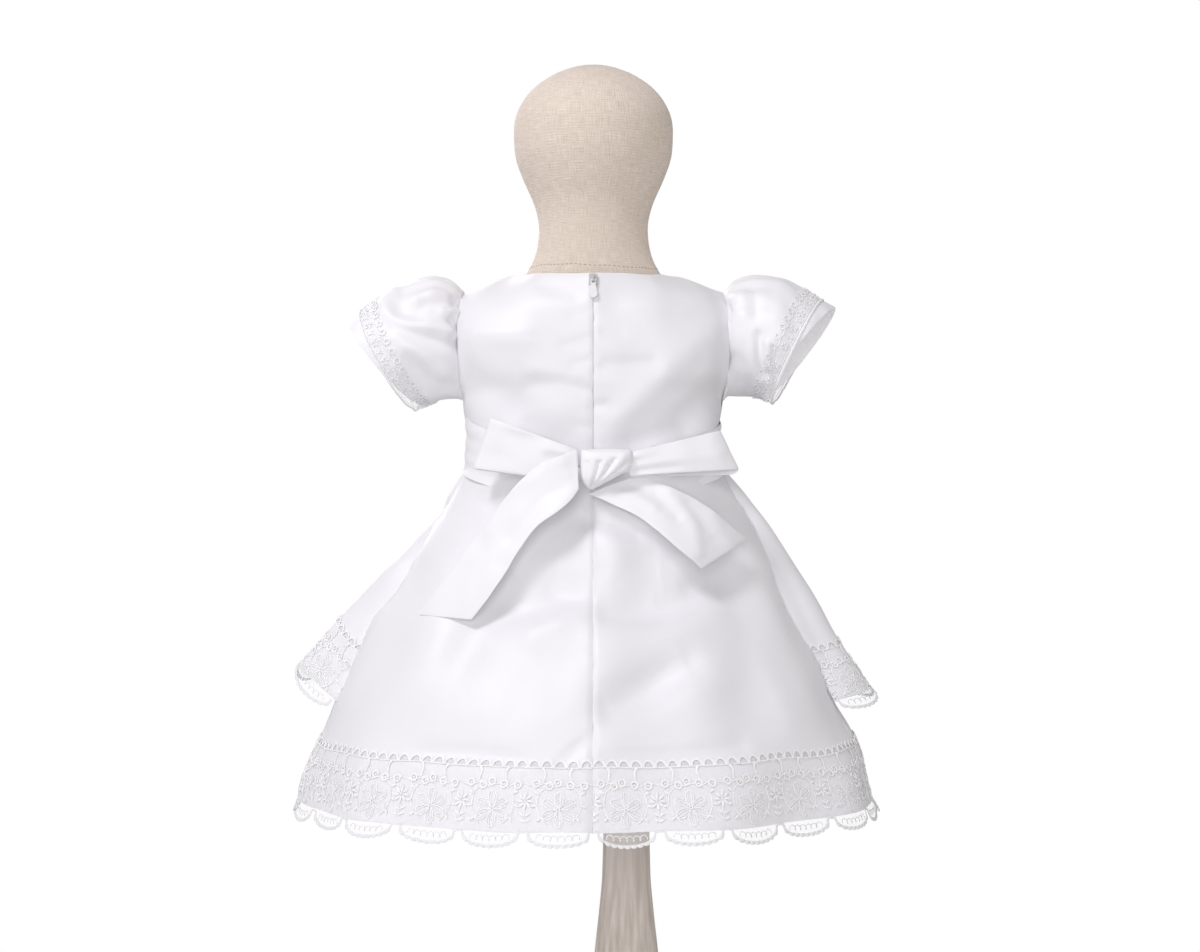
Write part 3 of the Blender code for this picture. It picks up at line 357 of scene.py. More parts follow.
def bodice_grid(rows, face, side):
    """A quarter of the bodice's outer side, from its middle to the side seam and armhole."""
    shares = np.linspace(0, 1, BODICE_COLUMNS)
    angles = 90 * face * (1 - side * shares)
    levels = [row[0] for row in (*WAIST_RINGS, *rows)]
    made = [waist_points(angles, np.full(BODICE_COLUMNS, float(ring[0]))) for ring in WAIST_RINGS]
    for z, middle_y, blade_x, blade_y, corner_x, corner_y, hole, blade_rise, corner_rise in rows:
        knots = [[0, face * middle_y, z], [side * blade_x, face * blade_y, z + blade_rise],
                 [side * corner_x, face * corner_y, z + corner_rise], armhole(face * hole, side)]
        made.append(curve(ROW_KNOTS, knots, shares))
    return soften(curve(levels, made, np.linspace(levels[0], levels[-1], BODICE_ROWS)), BODICE_PASSES)


def sleeve_grid(stations, side, yaw):
    """A sleeve's outer side: rows from the armhole to the hem, columns from the underarm."""
    angles = np.linspace(0, 360, SLEEVE_COLUMNS, endpoint=False)
    high, deep = directions(angles)
    start = armhole(np.where(angles < 180, angles, angles - 360), side)
    middle = np.array([side * ARMHOLE_X, 0, ARMHOLE_Z])
    rings = [middle + (start - middle) * SLEEVE_TUCK - np.array([side * SLEEVE_INSET, 0, 0])]
    waves = np.cos(np.radians(GATHERS * (angles - 180) * GATHER_SPREAD))
    ripples = GATHER_DEPTH * np.maximum(0, -high) * waves
    for top_x, top_z, low_x, low_z, half_depth, gather in stations:
        reach_x, reach_z = (top_x - low_x) / 2, (top_z - low_z) / 2
        ripple = ripples * gather
        swell = (1 + ripple / np.hypot(reach_x, reach_z)) * high
        depth = (half_depth + ripple) * deep
        across = (top_x + low_x) / 2 - reach_x * swell - yaw * depth * (1 - gather)
        rings.append(merged(side * across, depth, (top_z + low_z) / 2 - reach_z * swell))
    return soften(bent(rings, SLEEVE_ROWS), 3)


def to_metres(grid):
    """Millimetres from the gown's middle into the model's frame."""
    return (np.asarray(grid) + np.array([GOWN_X, 0, 0])) * MM


# ---------------- creases
def creased(grid, normals, creases, face=0, share=1.0, taper=0.0):
    """Move a grid by rows of (width, depth, path of (across, z) seen from the back).

    Face is +1 for the back only and -1 for the front, and taper takes depth off a path's ends.
    """
    across, height = grid[..., 0], grid[..., 2]
    total = np.zeros(across.shape)
    for width, depth, *path in creases:
        path = np.array(path, float)
        nearest, place = np.full(across.shape, np.inf), np.zeros(across.shape)
        for index, (start, end) in enumerate(zip(path[:-1], path[1:])):
            run = end - start
            length = max(run @ run, 1e-6)
            part = np.clip(((across - start[0]) * run[0] + (height - start[1]) * run[1]) / length, 0, 1)
            apart = np.hypot(across - start[0] - part * run[0], height - start[1] - part * run[1])
            place = np.where(apart < nearest, (index + part) / (len(path) - 1), place)
            nearest = np.minimum(nearest, apart)
        fade = 1 - taper * (2 * place - 1) ** 2
        total += depth * fade * np.exp(-(nearest / width) ** 2)
    if face:
        total *= 1 / (1 + np.exp(-face * grid[..., 1] / 4))
    return grid + normals * (total * share)[..., None]


def uneven(grid, size, seed):
    """A smooth field of about -1 to 1 over a grid, its swells about size mm apart."""
    draw = np.random.default_rng(seed)
    waves = draw.normal(size=(12, 3))
    waves *= 2 * pi / size / norm(waves, axis=1, keepdims=True) * draw.uniform(0.6, 1.5, (12, 1))
    return np.cos(grid @ waves.T + draw.uniform(0, 2 * pi, 12)).sum(axis=-1) / 3.5


def swelled(grid, normals, *swells, share=1.0):
    """A grid moved by uneven fields, each given as (depth, size, seed)."""
    move = sum(depth * uneven(grid, size, seed) for depth, size, seed in swells)
    return grid + normals * (move * share)[..., None]


def normals_of(grid, inside=(0, 0, WAIST_Z), closed=False):
    """Unit normals of a grid, on the side away from a point."""
    around = np.roll(grid, -1, axis=1) - np.roll(grid, 1, axis=1) if closed else np.gradient(grid, axis=1)
    normals = np.cross(around, np.gradient(grid, axis=0))
    normals /= np.maximum(norm(normals, axis=2, keepdims=True), 1e-9)
    away = ((grid - np.array(inside, float)) * normals).sum()
    return normals if away > 0 else -normals


# ---------------- meshes
def add_mesh(name, points, faces, look, node=None, uv=None, sharp=45):
    """A piece of the scene from points in metres, riding on the gown and stand."""
    mesh = bpy.data.meshes.new(name)
    mesh.from_pydata(np.asarray(points).tolist(), [], faces)
    if uv is not None:
        corners = np.empty(len(mesh.loops), np.int64)
        mesh.loops.foreach_get("vertex_index", corners)
        mesh.uv_layers.new(name="cloth").data.foreach_set("uv", np.asarray(uv)[corners].ravel())
    mesh.materials.append(look)
    mesh.shade_smooth()
    mesh.set_sharp_from_angle(angle=radians(sharp))
    piece = bpy.data.objects.new(name, mesh)
    bpy.context.collection.objects.link(piece)
    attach(piece, ROOT)
    if node:
        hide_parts(node)
    return piece


def grid_faces(rows, columns, closed=False):
    """A grid's point numbers before and after each gap between columns, and its quads."""
    index = np.arange(rows * columns).reshape(rows, columns)
    before = index if closed else index[:, :-1]
    after = np.roll(index, -1, axis=1) if closed else index[:, 1:]
    quads = merged(before[:-1], after[:-1], after[1:], before[1:])
    return before, after, quads.reshape(-1, 4)


def sheet_faces(rows, columns, closed=False):
    """Faces of a sheet of two layers: the outer grid's, the inner grid's and its free edges."""
    before, after, quads = grid_faces(rows, columns, closed)
    count = rows * columns
    rims = [(before[0], after[0]), (after[-1], before[-1])]
    if not closed:
        rims += [(before[1:, 0], before[:-1, 0]), (after[:-1, -1], after[1:, -1])]
    sides = [merged(end, start, start + count, end + count) for start, end in rims]
    return np.concatenate([quads, (quads + count)[:, ::-1], *sides])


EDGE_ROUNDING = 0.35              # share of the thickness taken off each side of a free edge


def shell(name, grid, normals, thickness, look, closed=False):
    """A thin closed shell under a grid's outer side, in place of the solid of its name."""
    rows, columns = grid.shape[:2]
    level = np.zeros((rows, columns))
    level[[0, -1]] = EDGE_ROUNDING
    if not closed:
        level[:, [0, -1]] = EDGE_ROUNDING
    outer = grid - normals * (level * thickness)[..., None]
    inner = grid - normals * ((1 - level) * thickness)[..., None]
    points = np.concatenate([outer, inner]).reshape(-1, 3)
    faces = sheet_faces(rows, columns, closed)
    row, column = rows // 2, columns // 2
    spot = grid[row, column]
    if np.cross(grid[row, column + 1] - spot, grid[row + 1, column] - spot) @ normals[row, column] < 0:
        faces = faces[:, ::-1]
    run, fall = (np.cumsum([0, *spacing(grid, axis).mean(axis=1 - axis)]) for axis in (1, 0))
    flat = merged(run, fall[:, None]).reshape(-1, 2) * MM
    return add_mesh(f"{name}_cloth", to_metres(points), faces.tolist(), look, name,
                    uv=np.concatenate([flat, flat]))


def flat_size(grid):
    """A panel's widest row and its longest column, in metres, and its area."""
    width, length = spacing(grid, 1).sum(axis=1).max(), spacing(grid).sum(axis=0).max()
    first, second = grid[:-1, 1:] - grid[:-1, :-1], grid[1:, :-1] - grid[:-1, :-1]
    area = norm(np.cross(first, second), axis=2).sum()
    return float(width) * MM, float(length) * MM, float(area) * MM * MM


def cloth(name, grid, normals, thickness, look, closed=False):
    """A shell of cloth. The flat size of its own grid is worked out, and nothing uses it."""
    piece = shell(name, grid, normals, thickness, look, closed=closed)
    width, length, area = flat_size(np.concatenate([grid, grid[:, :1]], axis=1) if closed else grid)
    return piece


# ---------------- finishes
def add_node(nodes, kind, **settings):
    """A node with its sockets and properties set by name."""
    node = nodes.new(kind)
    for key, value in settings.items():
        if key in node.inputs:
            node.inputs[key].default_value = value
        else:
            setattr(node, key, value)
    return node


class Finish:
    """A Principled material built up from textures, whose coordinates are in metres."""

    def __init__(self, name, colour, roughness, **settings):
        self.material = bpy.data.materials.new(name)
        self.material.use_nodes = True
        self.nodes = self.material.node_tree.nodes
        self.links = self.material.node_tree.links
        self.shader = self.nodes["Principled BSDF"]
        settings = {"Base Color": (*colour, 1), "Roughness": roughness, **settings}
        for socket, value in settings.items():
            self.shader.inputs[socket].default_value = value

    def texture(self, kind, output="Fac", space="Object", stretch=(1, 1, 1), **settings):
        """A texture's value, its coordinates stretched for each axis."""
        place = self.nodes.new("ShaderNodeTexCoord")
        mapping = add_node(self.nodes, "ShaderNodeMapping", Scale=stretch)
        texture = add_node(self.nodes, f"ShaderNodeTex{kind}", **settings)
        self.links.new(place.outputs[space], mapping.inputs["Vector"])
        self.links.new(mapping.outputs["Vector"], texture.inputs["Vector"])
        return texture.outputs[output]

    def noise(self, scale, detail=2.0):
        """Noise that is the same size every way."""
        return self.texture("Noise", Scale=scale, Detail=detail)

    def streaks(self, stretch, detail=2.0, space="UV"):
        """Noise drawn out to fine streaks."""
        return self.texture("Noise", space=space, stretch=stretch, Scale=1.0, Detail=detail)

    def calculated(self, operation, first, second):
        """The result of a sum on a texture's value and another value or number."""
        node = add_node(self.nodes, "ShaderNodeMath", operation=operation)
        self.links.new(first, node.inputs[0])
        if isinstance(second, float):
            node.inputs[1].default_value = second
        else:
            self.links.new(second, node.inputs[1])
        return node.outputs["Value"]

    def tint(self, value, low, high):
        """Colour the shader between two colours by a texture's value."""
        ramp = self.nodes.new("ShaderNodeValToRGB")
        for element, colour, position in zip(ramp.color_ramp.elements, (low, high), (0.3, 0.7)):
            element.color = (*colour, 1)
            element.position = position
        self.links.new(value, ramp.inputs["Fac"])
        self.links.new(ramp.outputs["Color"], self.shader.inputs["Base Color"])

    def bump(self, *layers):
        """Lay bumps of (height output, depth in metres) over each other. Gives the finished material."""
        target = self.shader.inputs["Normal"]
        for height, depth in reversed(layers):
            bump = add_node(self.nodes, "ShaderNodeBump", Strength=1.0, Distance=depth)
            self.links.new(height, bump.inputs["Height"])
            self.links.new(bump.outputs["Normal"], target)
            target = bump.inputs["Normal"]
        return self.material


# Scales a colour: for random tone, and in satin_finish for lighter copies of the satin, the sleeves' being
# painted light.
def scaled_colour(colour, light):
    """A colour made lighter or darker."""
    return tuple(min(1.0, part * light) for part in colour)


def satin_finish(name, light=1.0, through=0.0):
    """White satin: long floats of yarn, a soft gloss, faint crumpling, and a painted glow, an emission that
    stands in for light through the cloth.
    """
    # Emission Strength is a painted glow: it makes the satin shine as if lit through the cloth.
    look = Finish(name, (0.87, 0.865, 0.888), 0.48, Anisotropic=0.35,
                  **{"Sheen Weight": 0.05, "Sheen Roughness": 0.4, "Specular IOR Level": 0.65,
                     "Emission Color": (1, 0.99, 1, 1), "Emission Strength": through})
    look.tint(look.noise(18.0), scaled_colour((0.860, 0.853, 0.888), light), scaled_colour((0.882, 0.875, 0.908), light))
    crumple, slub, yarn = look.noise(32.0), look.streaks((260, 60, 1)), look.streaks((3200, 420, 1), 1.0)
    return look.bump((crumple, 0.0005), (slub, 0.00006), (yarn, 0.00001))


def thread_finish(name, colour):
    """Thread, matt and finely twisted."""
    look = Finish(name, colour, 0.7, **{"Sheen Weight": 0.2})
    twist = look.texture("Wave", Scale=900.0, Distortion=3.0, bands_direction="DIAGONAL")
    fuzz = look.noise(1400.0)
    look.tint(fuzz, scaled_colour(colour, 0.975), scaled_colour(colour, 1.02))
    return look.bump((twist, 0.00004), (fuzz, 0.00003))


def net_finish(name, colour, cover):
    """The lace's ground: a fine net that lets part of the light through."""
    look = Finish(name, colour, 0.85, Alpha=cover)
    mesh = look.texture("Voronoi", "Distance", Scale=1100.0, feature="DISTANCE_TO_EDGE")
    look.tint(mesh, scaled_colour(colour, 1.02), scaled_colour(colour, 0.95))
    return look.bump((mesh, 0.0001))


def linen_finish():
    """Natural linen in a plain weave with thicker yarns here and there."""
    look = Finish("natural_linen", (0.80, 0.68, 0.56), 0.92, **{"Sheen Weight": 0.2})
    warp, weft = (look.texture("Wave", space="UV", stretch=stretch, Scale=1.0, Distortion=0.6,
                               bands_direction=direction, **{"Detail Scale": 2.0})
                  for direction, stretch in (("X", (150, 1, 1)), ("Y", (1, 150, 1))))
    slubs = look.calculated("ADD", look.streaks((1900, 90, 1)), look.streaks((90, 1900, 1)))
    slubs = look.calculated("MULTIPLY", slubs, 0.5)
    look.tint(slubs, (0.62, 0.51, 0.425), (0.93, 0.825, 0.73))
    return look.bump((look.calculated("MAXIMUM", warp, weft), 0.00018), (slubs, 0.0003))


def wood_finish():
    """Pale greyed wood with a fine straight grain."""
    look = Finish("pale_greyed_wood", (0.50, 0.44, 0.39), 0.5)
    grain = look.streaks((260, 260, 9), 4.0, "Object")
    look.tint(grain, (0.50, 0.435, 0.38), (0.72, 0.655, 0.60))
    return look.bump((grain, 0.0002), (look.streaks((1400, 1400, 40), space="Object"), 0.00012))


def plain_finish(name, colour, roughness, metallic, grain):
    """Metal or moulded plastic with a fine uneven surface."""
    look = Finish(name, colour, roughness, Metallic=metallic)
    fine = look.noise(grain, 3.0)
    look.tint(fine, scaled_colour(colour, 0.92), colour)
    return look.bump((fine, 0.00004))


# ---------------- skirt and overskirt
# width, depth, then the points (across, z) of a crease's path, as seen from the back
SKIRT_CREASES = (
    (25, -9, (52, 354), (24, 362), (-14, 356), (-52, 352), (-84, 366)),
    (12, -6, (-92, 370), (-70, 350), (-46, 341), (-14, 342)),
    (14, 4, (-12, 392), (-24, 366)),
    (13, -6, (70, 338), (44, 346), (24, 356), (10, 370)),
    (7, -5, (5, 404), (-16, 402), (-30, 397)),
    (12, 2.4, (12, 376), (14, 366)),
    (6, -1.6, (30, 358), (12, 352), (-4, 351)),
    (8, 1.8, (4, 342), (44, 327)),
    (12, 2.6, (-4, 322), (-36, 324), (-70, 334)),
    (13, -13, (-14, 280), (-38, 290), (-68, 305)),
    (11, 1.6, (-84, 352), (-104, 312)),
    (7, -1, (-15, 278), (-8, 272)),
    (12, -2, (75, 314), (24, 306)),
    (6, -4, (50, 242), (88, 244), (122, 243)),
    (5, -3.2, (22, 240), (2, 256)),
    (6, -3.6, (-8, 243), (-60, 243), (-104, 247)),
    (6, 1.8, (62, 428), (84, 430)),
    (7, -1.6, (80, 418), (66, 408)),
    (16, -1.8, (-74, 330), (-110, 262)),
    (14, 2, (96, 350), (128, 282)),
    (13, -1.6, (78, 352), (108, 276)),
    (9, 1.4, (-120, 306), (-140, 262)),
    (13, -1, (52, 300), (60, 252)),
)
SEAM_DIP, SEAM_WIDTH = 0.9, 1.6
SEAM_PUCKER, PUCKER_WIDTH, PUCKER_SIZES = 0.5, 9, (13, 21, 34)


def pinched(grid, normals, column, seed):
    """Draw a panel in along one of its seams, with small puckers that run out from it."""
    apart = norm(grid - grid[:, column][:, None], axis=2)
    draw = np.random.default_rng(seed)
    ripple = sum(np.sin(grid[..., 2] * 2 * pi / size + draw.uniform(0, 6)) for size in PUCKER_SIZES) / 2
    move = (SEAM_PUCKER * ripple * np.exp(-(apart / PUCKER_WIDTH) ** 2)
            - SEAM_DIP * np.exp(-(apart / SEAM_WIDTH) ** 2))
    return grid + normals * move[..., None]


def skirt(satin):
    """The skirt's front and two backs. Gives the whole outer side for the lace."""
    parts = []
    for name, first, last, columns in PANELS:
        grid = skirt_grid(first, last, columns)
        normals = normals_of(grid)
        grid = swelled(grid, normals, (1.7, 84, 3), (0.08, 26, 4))
        grid = creased(grid, normals, SKIRT_CREASES, 1, taper=0.4)
        grid = pinched(pinched(grid, normals, 0, 5), normals, -1, 6)
        cloth(name, grid, normals, SATIN, satin)
        parts.append(grid[:, 1 if parts else 0:])
    return np.concatenate(parts, axis=1)


OVER_SIDE_CREASES = (
    (6, -2, (114, 412), (150, 348), (186, 284)),
    (6, 1.8, (106, 402), (134, 350), (168, 294)),
    (6, -2, (-116, 410), (-150, 350), (-178, 296)),
    (6, 1.6, (-110, 396), (-138, 340), (-160, 300)),
)
OVER_CREASES = (
    (9, 2.4, (-58, 424), (-84, 380), (-118, 318)),
    (10, -2.6, (-40, 422), (-60, 370), (-84, 306)),
    (8, 2.2, (-22, 418), (-34, 360), (-40, 300)),
    (9, -2.2, (4, 420), (2, 360), (-4, 300)),
    (9, 2.4, (26, 424), (38, 370), (48, 300)),
    (9, -2.6, (48, 426), (72, 370), (92, 312)),
    (10, 2.2, (70, 424), (104, 360), (132, 300)),
    (4, -1.2, (-72, 436), (-78, 420)),
    (4, 1.2, (-50, 437), (-54, 422)),
    (4, -1.2, (-12, 437), (-14, 424)),
    (4, 1.2, (14, 437), (16, 424)),
    (4, -1.2, (38, 437), (42, 422)),
    (4, 1.2, (60, 436), (66, 420)),
)


def overskirt(satin):
    """The overskirt round the front, sewn in at the side seams. Gives its outer side."""
    grid = over_grid()
    normals = normals_of(grid)
    grid = swelled(grid, normals, (0.7, 65, 13), (0.08, 26, 14))
    grid = creased(grid, normals, OVER_CREASES, -1)
    grid = creased(grid, normals, OVER_SIDE_CREASES)
    cloth("overskirt", grid, normals, SATIN, satin)
    return grid


# ---------------- lace
LACE_LIFT, NET = 0.4, 0.2         # from the satin to the lace's net, and the net's thickness
NET_ROWS, NET_COLUMNS = 15, 26    # rows of the net, and its columns in a repeat
THREAD, THREAD_RISE = 0.80, 0.42  # a cord's size as a share of its drawn one, and how flat it lies
ARCHES, ARCH_HEIGHT, ARCH_HALF_WIDTH = 5, 5.2, 0.44        # the half width is a share of their spacing
MOON_POINTS = 9
SCALLOP_TOP, SCALLOP_DEPTH, SCALLOP_GAP, SCALLOP_FULLNESS = 2.0, 9.5, 0.14, 0.8
HEM_REPEATS, OVER_REPEATS, SLEEVE_REPEATS = 13, 14, 19
FLOWER_DROP = 29.6


def arc(run, drop, wide, tall, start, end, count):
    """Flat points (run, drop) on an ellipse, angles in degrees from along the lace, up."""
    across, up = directions(np.linspace(start, end, count))
    return merged(run + wide * across, drop - tall * up)


def tube_faces(count, sides, closed=False):
    """Faces of a tube of count rings, with flat ends unless it is closed."""
    ring, corner = np.arange(count if closed else count - 1)[:, None] * sides, np.arange(sides)
    after, beside = (ring + sides) % (count * sides), (corner + 1) % sides
    quads = merged(ring + corner, after + corner, after + beside, ring + beside)
    ends = [] if closed else [list(range(sides)), list(range(count * sides - 1, (count - 1) * sides - 1, -1))]
    return quads.reshape(-1, 4).tolist() + ends


def thread(path, radius, closed=False, lift=0.0, sides=5):
    """A cord that lies on the net: its points (run, drop, lift) and faces."""
    path = np.asarray(path, float)
    radius = np.broadcast_to(radius, len(path))[:, None] * THREAD
    ahead = np.roll(path, -1, axis=0) - np.roll(path, 1, axis=0) if closed else np.gradient(path, axis=0)
    ahead /= np.maximum(norm(ahead, axis=1, keepdims=True), 1e-6)
    side = merged(-ahead[:, 1], ahead[:, 0])
    turn = 2 * pi * (np.arange(sides) + 0.5) / sides
    flat = path[:, None] + side[:, None] * (radius * np.cos(turn))[..., None]
    rise = lift + THREAD_RISE * radius * (1 + np.sin(turn))
    return raised(flat, rise).reshape(-1, 3), tube_faces(len(path), sides, closed)


def cord(points, count, radius):
    """A thread on a smooth line through a few flat points."""
    return thread(bent(points, count), radius)


def ring_cord(run, drop, size, end, count, radius, lift=0.0):
    """A small closed ring of thread, drawn round to an angle."""
    return thread(arc(run, drop, size, size, 0, end, count), radius, closed=True, lift=lift)


def leaf(run, drop, angle, length, width, out=0.0):
    """A small padded leaf that grows at an angle from a place, its root a little out from it."""
    run, drop = arc(run, drop, out, out, angle, angle, 1)[0]
    shares = np.linspace(0, 1, 7)
    across, up = directions(angle + 16 * (shares - 0.5))
    path = merged(run + length * shares * across, drop - length * shares * up)
    return thread(path, width / 2 * (0.15 + np.sin(pi * shares ** 0.8)), sides=6)


def petal(run, drop, angle, length, width, out):
    """A petal: a corded outline round two lines of satin stitch."""
    across, up = directions(angle)
    turn = np.linspace(0, 2 * pi, 18, endpoint=False)
    reach = (1 - np.cos(turn)) / 2
    wide = width / 2 * np.sin(turn) * np.maximum(1e-3, reach) ** 0.35
    far = out + length * reach
    path = merged(run + far * across - wide * up, drop - far * up - wide * across)
    parts = [thread(path, 0.5, closed=True)]
    for share in (-0.24, 0.24):
        stitch = path[[2, 5, 8]] * (0.5 + share) + path[[16, 13, 10]] * (0.5 - share)
        parts.append(thread(bent(stitch, 6), 0.42, sides=4))
    return parts


def joined(parts):
    """Several pieces of a pattern as one set of points and faces."""
    points, faces, before = [], [], 0
    for some, theirs in parts:
        points.append(some)
        faces += [[before + corner for corner in face] for face in theirs]
        before += len(some)
    return np.concatenate(points), faces


def scallop_edge(shares):
    """The lace's lower edge below the satin, along one repeat."""
    near = np.clip(1 - ((shares - 0.5) / ((1 - SCALLOP_GAP) / 2)) ** 2, 0, 1)
    return SCALLOP_TOP + SCALLOP_DEPTH * near ** (SCALLOP_FULLNESS / 2)


def hem_motif(repeat, band):
    """One repeat of the hem lace, its middle at run 0 and its upper cord at drop 0."""
    half, pitch = repeat / 2, repeat / ARCHES
    parts = [cord([(-half, 0), (-half / 2, 0.15), (half / 2, -0.1), (half, 0)], 9, 0.6)]
    for index in range(ARCHES):
        arch = arc((index + 0.5) * pitch - half, 0, pitch * ARCH_HALF_WIDTH, ARCH_HEIGHT, 0, 180, 13)
        parts.append(thread(arch, 1.05))
    for start, sway in ((-9.5, 1), (12.5, -1)):
        stem = [(start, 0), (start + sway * 1.8, 4), (start + sway * 0.6, 10.5)]
        parts.append(cord(stem, 9, np.linspace(1.25, 0.55, 9)))
    vine = ((-1, 12), (-0.72, 10.6), (-0.45, 13.4), (-0.15, 12),
            (0.12, 13.6), (0.42, 11), (0.72, 13.2), (1, 12))
    parts.append(cord([(half * share, drop) for share, drop in vine], 26, 0.5))
    for run, drop in ((-17.5, 12.6), (-7.5, 12.2), (1.5, 10.6), (7.6, 12.9), (17.2, 11.4)):
        parts += [ring_cord(run, drop, 2.5, 297, 10, 0.95), ring_cord(run, drop, 0.5, 300, 6, 0.45)]
    for angle in (90, 30, -28, -90, -152, 150):
        parts += petal(0, FLOWER_DROP, angle, 11.8, 7.4, 0.8)
    parts.append(ring_cord(0, FLOWER_DROP, 1.2, 300, 7, 0.6, 0.4))
    for side in (-1, 1):
        stem = [(side * run, drop) for run, drop in ((10, 14), (14.5, 19), (15.6, 27), (12.5, 35), (8, 39.5))]
        parts.append(cord(stem, 15, 0.5))
        for spot, turn in ((10, 30), (20, -10), (30, -50)):
            parts.append(leaf(*bent(stem, 41)[spot], turn if side > 0 else 180 - turn, 4.6, 2.0))
    parts += [leaf(half, 24, angle, 5.6, 2.1, 1.2) for angle in range(-90, 270, 45)]
    parts += [leaf(half, drop, 90 - side * 58, 5.0, 1.9) for drop in (34.5, 38.5) for side in (-1, 1)]
    parts.append(cord([(half, 17), (half + 0.6, 28), (half, 39)], 9, 0.4))
    return joined(parts)


def scallop_motif(repeat, band):
    """One repeat of the corded scallop that hangs below the satin, with its looped thread."""
    shares = np.linspace(0.5 * SCALLOP_GAP, 1 - 0.5 * SCALLOP_GAP, 73)
    bead = np.abs(np.sin(pi * 9 * (shares - shares[0]) / (shares[-1] - shares[0])))
    edge = merged((shares - 0.5) * repeat, band + scallop_edge(shares) - 1.6 + 0.8 * bead)
    turn = np.linspace(0, 2 * pi * 6, 85)
    runs = (turn / turn[-1] - 0.5) * repeat * 0.6 - 1.2 * np.sin(turn)
    base = band + SCALLOP_TOP + 0.8 + 2.2 * np.clip(1 - (runs / (repeat * 0.4)) ** 2, 0, 1)
    loops = merged(runs, base + 1.8 * np.cos(turn))
    half, gap = repeat / 2, SCALLOP_GAP * repeat / 2
    bridge = [(half - gap, band + 1.2), (half, band + 0.4), (half + gap, band + 1.2)]
    cords = [thread(edge, 1.0 + 0.9 * bead, sides=6), thread(loops, 0.5, sides=4), cord(bridge, 7, 0.9)]
    return joined(cords)


def sleeve_motif(repeat, band):
    """One repeat of a sleeve's lace, its middle at run 0, from the inner edge at drop 0."""
    half, middle = repeat / 2, band * 0.56
    parts = [cord([(-half, 4.4), (-half / 2, 3.5), (0, 4.6), (half / 2, 3.5), (half, 4.4)], 13, 0.5),
             cord([(-half, band - 0.9), (0, band - 1.0), (half, band - 0.9)], 5, 1.1),
             cord([(-half, band - 3.0), (0, band - 2.8), (half, band - 3.0)], 5, 0.35)]
    parts += [ring_cord(run, 1.0, 1.9, 320, 9, 0.7) for run in (-half / 2, half / 2)]
    parts += [leaf(0, middle, angle, 2.6, 1.7, 0.9) for angle in range(90, 450, 72)]
    parts += [leaf(half, middle + 0.4, angle, 3.0, 1.2) for angle in (50, 130, 270)]
    return joined(parts)


def on_panel(grid, normals, cord_row, run, drop, lift):
    """Points laid on the lower rows of a panel's grid, run from its first column."""
    lengths = np.cumsum([0, *spacing(grid[-1])])
    column = np.interp(run, lengths, np.arange(len(lengths)))
    step = norm(grid[-1] - grid[cord_row], axis=1) / (len(grid) - 1 - cord_row)
    row = cord_row + drop / np.interp(column, np.arange(len(lengths)), step)
    first_row = np.clip(row.astype(int), 0, len(grid) - 2)
    first_column = np.clip(column.astype(int), 0, len(lengths) - 2)
    down, over = (row - first_row)[:, None], (column - first_column)[:, None]

    def mixed(field):
        upper, below = (field[line, first_column] * (1 - over) + field[line, first_column + 1] * over
                        for line in (first_row, first_row + 1))
        return upper * (1 - down) + below * down

    out = mixed(normals)
    return mixed(grid) + out / norm(out, axis=1, keepdims=True) * lift[:, None]


def net_mesh(name, flat, place, look, closed=False):
    """The lace's net, laid by place from one grid of flat points, instead of the lace's solid."""
    layers = [place(np.insert(flat, 2, lift, axis=-1).reshape(-1, 3))
              for lift in (LACE_LIFT + NET, LACE_LIFT)]
    faces = sheet_faces(*flat.shape[:2], closed).tolist()
    return add_mesh(f"{name}_net", np.concatenate(layers), faces, look, name)


def repeated(motif, repeat, band, repeats):
    """A motif's points and faces repeated along the lace."""
    points, faces = motif(repeat, band)
    return joined([(points + ((index + 0.5) * repeat, 0, LACE_LIFT + NET * 0.5), faces)
                   for index in range(repeats)])


def half_moons(repeats, pitch):
    """Small plates of a darker net in the openings of the upper edge's arches: painted shade."""
    count = MOON_POINTS
    faces = [list(range(count)), list(range(2 * count - 1, count - 1, -1))]
    for corner in range(count):
        beside = (corner + 1) % count
        faces.append([beside, corner, count + corner, count + beside])
    parts = []
    for index in range(repeats * ARCHES):
        rim = arc((index + 0.5) * pitch, -0.3, pitch * 0.36, ARCH_HEIGHT * 0.84, 0, 180, count)
        parts.append((np.concatenate([np.insert(rim, 2, lift, axis=1) for lift in (0.3, 0.15)]), faces))
    return joined(parts)


def lace_strip(name, grid, normals, cord_row, repeats, looks):
    """A stretch of hem lace on a panel's lower rows: its net, half-moons and cords."""
    length = spacing(grid[-1]).sum()
    band = norm(grid[-1] - grid[cord_row], axis=1).mean()
    repeat = length / repeats
    thread_look, net_look, painted_shade_net_look, painted_shade_thread_look = looks

    def place(points):
        run = points[:, 0] + 0.35 * np.sin(points[:, 1] * 0.21 + points[:, 0] * 0.063)
        drop = points[:, 1] + 0.4 * np.sin(points[:, 0] * 0.081)
        return to_metres(on_panel(grid, normals, cord_row, run, drop, points[:, 2]))

    columns = repeats * NET_COLUMNS + 1
    lowest = band + scallop_edge((np.arange(columns) / NET_COLUMNS) % 1) - 1.4
    flat = merged(np.linspace(0.2, length - 0.2, columns), np.linspace(0, 1, NET_ROWS)[:, None] * lowest)
    sheet = net_mesh(name, flat, place, net_look)
    # The hanging scallops take the darker thread: painted shade, the skirt's shadow on them.
    for ending, motif, look in (("cords", hem_motif, thread_look), ("scallops", scallop_motif, painted_shade_thread_look)):
        points, faces = repeated(motif, repeat, band, repeats)
        points[:, 0] = np.clip(points[:, 0], 0.3, length - 0.3)
        add_mesh(f"{name}_{ending}", place(points), faces, look, sharp=60)
    # The half-moons take the darker net, as painted shade in the arches' openings.
    points, faces = half_moons(repeats, repeat / ARCHES)
    add_mesh(f"{name}_half_moons", place(points), faces, painted_shade_net_look)


